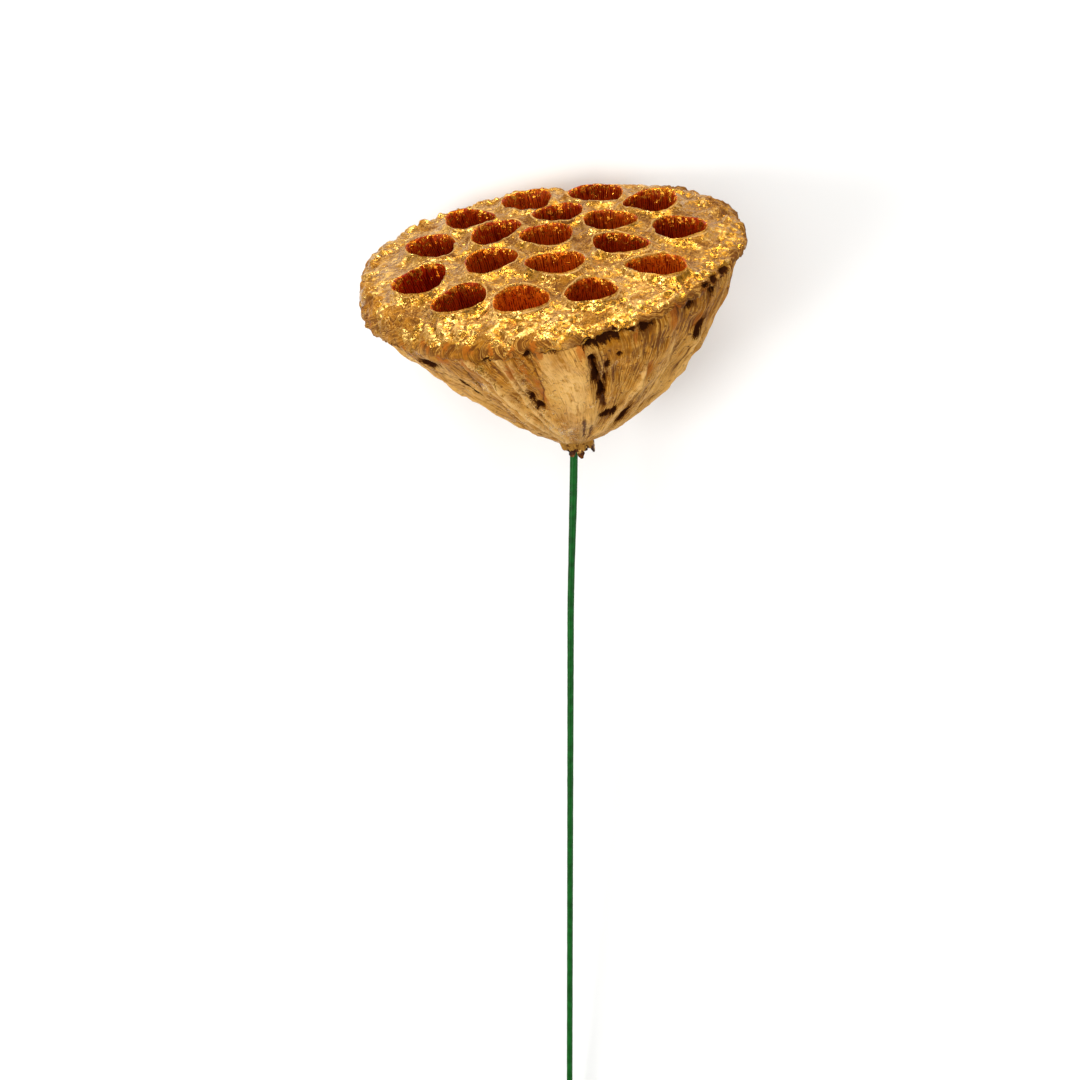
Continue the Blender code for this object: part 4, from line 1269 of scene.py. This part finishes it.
def gilded_skin():
    """Dried skin with gold leaf rubbed over it, fibrous on the wall, dark where it has rotted, and with
    painted shadow in the gap beside an overlapping fold.
    """
    nodes = Nodes("gilded_skin")
    seen = skin_patterns(nodes)
    facets = nodes.facets(nodes.shaken(seen.place, *LEAF_BEND), LEAF_FACETS)
    leaf = nodes.step(nodes.sum(nodes.stored("leaf"), (seen.flecks, 1.3)), *LAYERS["leaf"])
    colour = nodes.blend(leaf, bare_skin(nodes, seen), gold_leaf(nodes, seen, facets))
    ragged = nodes.sum(seen.ragged, (seen.flecks, 0.6))
    # The dark marks are rotted, scorched patches, and beside the overlapping fold painted shadow in its gap.
    rotten_and_shadowed = nodes.sum(nodes.stored("dark"), (ragged, 2.4))
    scorch_and_shadow = nodes.step(rotten_and_shadowed, *LAYERS["scorch_and_shadow"])
    colour = nodes.blend(scorch_and_shadow, colour, BROWN)
    # Cracks are coloured brown; in the gap beside the overlapping fold this brown is painted shadow.
    colour = nodes.lay("cracks", nodes.sum(nodes.stored("crack_and_shadow"), (ragged, 0.8)), colour, BROWN)
    colour = nodes.lay("rot_and_shadow", rotten_and_shadowed, colour, DARK)
    sound = nodes.step(scorch_and_shadow, *SOUND, 1.0, 0.0)
    metallic = nodes.product(nodes.product(leaf, sound), LEAF_METALLIC)
    polish = nodes.step(seen.rubbed, *LAYERS["polish"])
    fine = nodes.sum(seen.threads, (seen.fibres, 0.8), (seen.flecks, 0.6))
    relief = nodes.bump(fine, nodes.step(metallic, *GILDED, 0.20 * MM, 0.05 * MM))
    return nodes.finish(
        Base_Color=colour,
        Metallic=metallic,
        Roughness=nodes.step(metallic, *GILDED, 0.60, polish),
        Specular_IOR_Level=nodes.step(scorch_and_shadow, *SOUND, 0.06, 0.0),
        Normal=nodes.crumpled(relief, facets, nodes.step(metallic, *GILDED, 0.08, 0.40)),
    )


def cell_lining():
    """Red-brown lining of a seed cell, ribbed down its depth, with gold flecks near its mouth."""
    nodes = Nodes("cell_lining")
    place = nodes.millimetres()
    flecks = nodes.noise(place, 0.7, 3.0, 0.7)
    ribs = nodes.noise(nodes.stored("grain", "Vector"), 2.4, 3.0, 0.6)
    # Adding the relief's height makes the ribs' crests orange and their valleys dark red: painted light and
    # shade.
    ribs = nodes.sum(ribs, (nodes.stored("high"), 0.25))
    red = nodes.lay("orange", ribs, CELL_RED, CELL_ORANGE)
    lining = nodes.lay("warm", nodes.sum(ribs, (flecks, 0.5)), red, CELL_WARM, nodes.stored("warm"))
    gilt = nodes.step(nodes.sum(flecks, (ribs, 0.35), (nodes.stored("depth"), -0.75)), *LAYERS["cell gilt"])
    facets = nodes.facets(nodes.shaken(place, *CELL_BEND), CELL_FACETS)
    gold = nodes.lay("cell gold", nodes.part(facets, "X"), CELL_GOLD_DEEP, CELL_GOLD)
    nodes.shader.inputs["Specular IOR Level"].default_value = 0.3
    nodes.shader.inputs["Specular Tint"].default_value = (1.0, 0.35, 0.10, 1.0)
    return nodes.finish(
        Base_Color=nodes.blend(gilt, lining, gold),
        Metallic=nodes.product(gilt, LEAF_METALLIC),
        Roughness=nodes.step(gilt, 0.0, 1.0, 0.26, 0.22),
        Normal=nodes.crumpled(nodes.bump(ribs, 0.12 * MM), facets, nodes.step(gilt, 0.0, 1.0, 0.07, 0.7)),
    )


def torn_brown():
    """Torn, dark brown tissue with a little gold on it."""
    nodes = Nodes("torn_brown")
    place = nodes.millimetres()
    mottle = nodes.noise(place, 0.7, 3.0, 0.6)
    gilt = nodes.step(nodes.noise(place, 0.5, 3.0, 0.6), *LAYERS["shred gilt"])
    colour = nodes.blend(gilt, nodes.lay("shred brown", mottle, DARK, BROWN), GOLD)
    normal = nodes.bump(mottle, 0.3 * MM)
    nodes.shader.inputs["Specular IOR Level"].default_value = 0.1
    return nodes.finish(Base_Color=colour, Metallic=nodes.product(gilt, 0.8), Roughness=0.5, Normal=normal)


def green_coat():
    """Satin green plastic."""
    nodes = Nodes("green_coat")
    mottle = nodes.noise(nodes.millimetres(), 0.6, 3.0)
    colour = nodes.lay("light green", mottle, COAT_GREEN, COAT_GREEN_LIGHT)
    nodes.shader.inputs["Specular IOR Level"].default_value = 0.12
    return nodes.finish(Base_Color=colour, Roughness=0.40, Normal=nodes.bump(mottle, 0.02 * MM))


def bare_steel():
    """Bare wire."""
    nodes = Nodes("bare_steel")
    scratches = nodes.noise(nodes.millimetres(), 3.0, 2.0)
    return nodes.finish(Base_Color=STEEL, Metallic=1.0, Roughness=nodes.step(scratches, *LAYERS["scratches"]))


def floor_paint():
    """Matt white floor."""
    nodes = Nodes("floor_paint")
    return nodes.finish(Base_Color=FLOOR, Roughness=0.9)


def make_floor():
    """Plain pale floor."""
    corners = [(x * FLOOR_REACH, y * FLOOR_REACH, 0.0) for x, y in ((-1, -1), (1, -1), (1, 1), (-1, 1))]
    floor = add_mesh("floor", corners, [(0, 1, 2), (0, 2, 3)], [floor_paint()])


def make_camera():
    """Camera that looks down on the pod, as the photograph frames it."""
    tilt = math.radians(CAMERA_TILT)
    up = Vector((0.0, math.cos(tilt), -math.sin(tilt)))
    back = Vector((0.0, math.sin(tilt), math.cos(tilt)))
    place = Vector(FACE_CENTRE) + back * CAMERA_DISTANCE - up * FACE_ABOVE_MIDDLE
    place += Vector((FACE_LEFT_OF_MIDDLE, 0.0, 0.0))
    data = bpy.data.cameras.new("camera")
    data.lens = CAMERA_LENS
    data.sensor_width = CAMERA_SENSOR
    data.clip_start, data.clip_end = CAMERA_CLIP
    camera = bpy.data.objects.new("camera", data)
    camera.matrix_world = Matrix.Translation(place * MM) @ Matrix.Rotation(-tilt, 4, "X")
    bpy.context.scene.collection.objects.link(camera)
    bpy.context.scene.camera = camera


def add_light(name, place, target, size, power):
    """Soft rectangular light that faces a target."""
    data = bpy.data.lights.new(name, "AREA")
    data.shape = "RECTANGLE"
    data.size, data.size_y = size
    data.energy = power
    lamp = bpy.data.objects.new(name, data)
    lamp.location = place
    lamp.rotation_euler = (target - place).to_track_quat("-Z", "Y").to_euler()
    bpy.context.scene.collection.objects.link(lamp)


def make_light():
    """Soft studio light from behind, from both sides and from above, and a pale surround."""
    middle = Vector(FACE_CENTRE) * MM
    for name, offset, size, power in LIGHTS:
        add_light(name, middle + Vector(offset), middle, size, power)
    world = bpy.data.worlds.new("surround")
    world.use_nodes = True
    world.node_tree.nodes["Background"].inputs["Color"].default_value = SURROUND
    world.node_tree.nodes["Background"].inputs["Strength"].default_value = SURROUND_STRENGTH
    bpy.context.scene.world = world
    bpy.context.scene.view_settings.view_transform = "Standard"


make_camera()
make_pod()
make_shreds()
make_stem()
make_floor()
make_light()
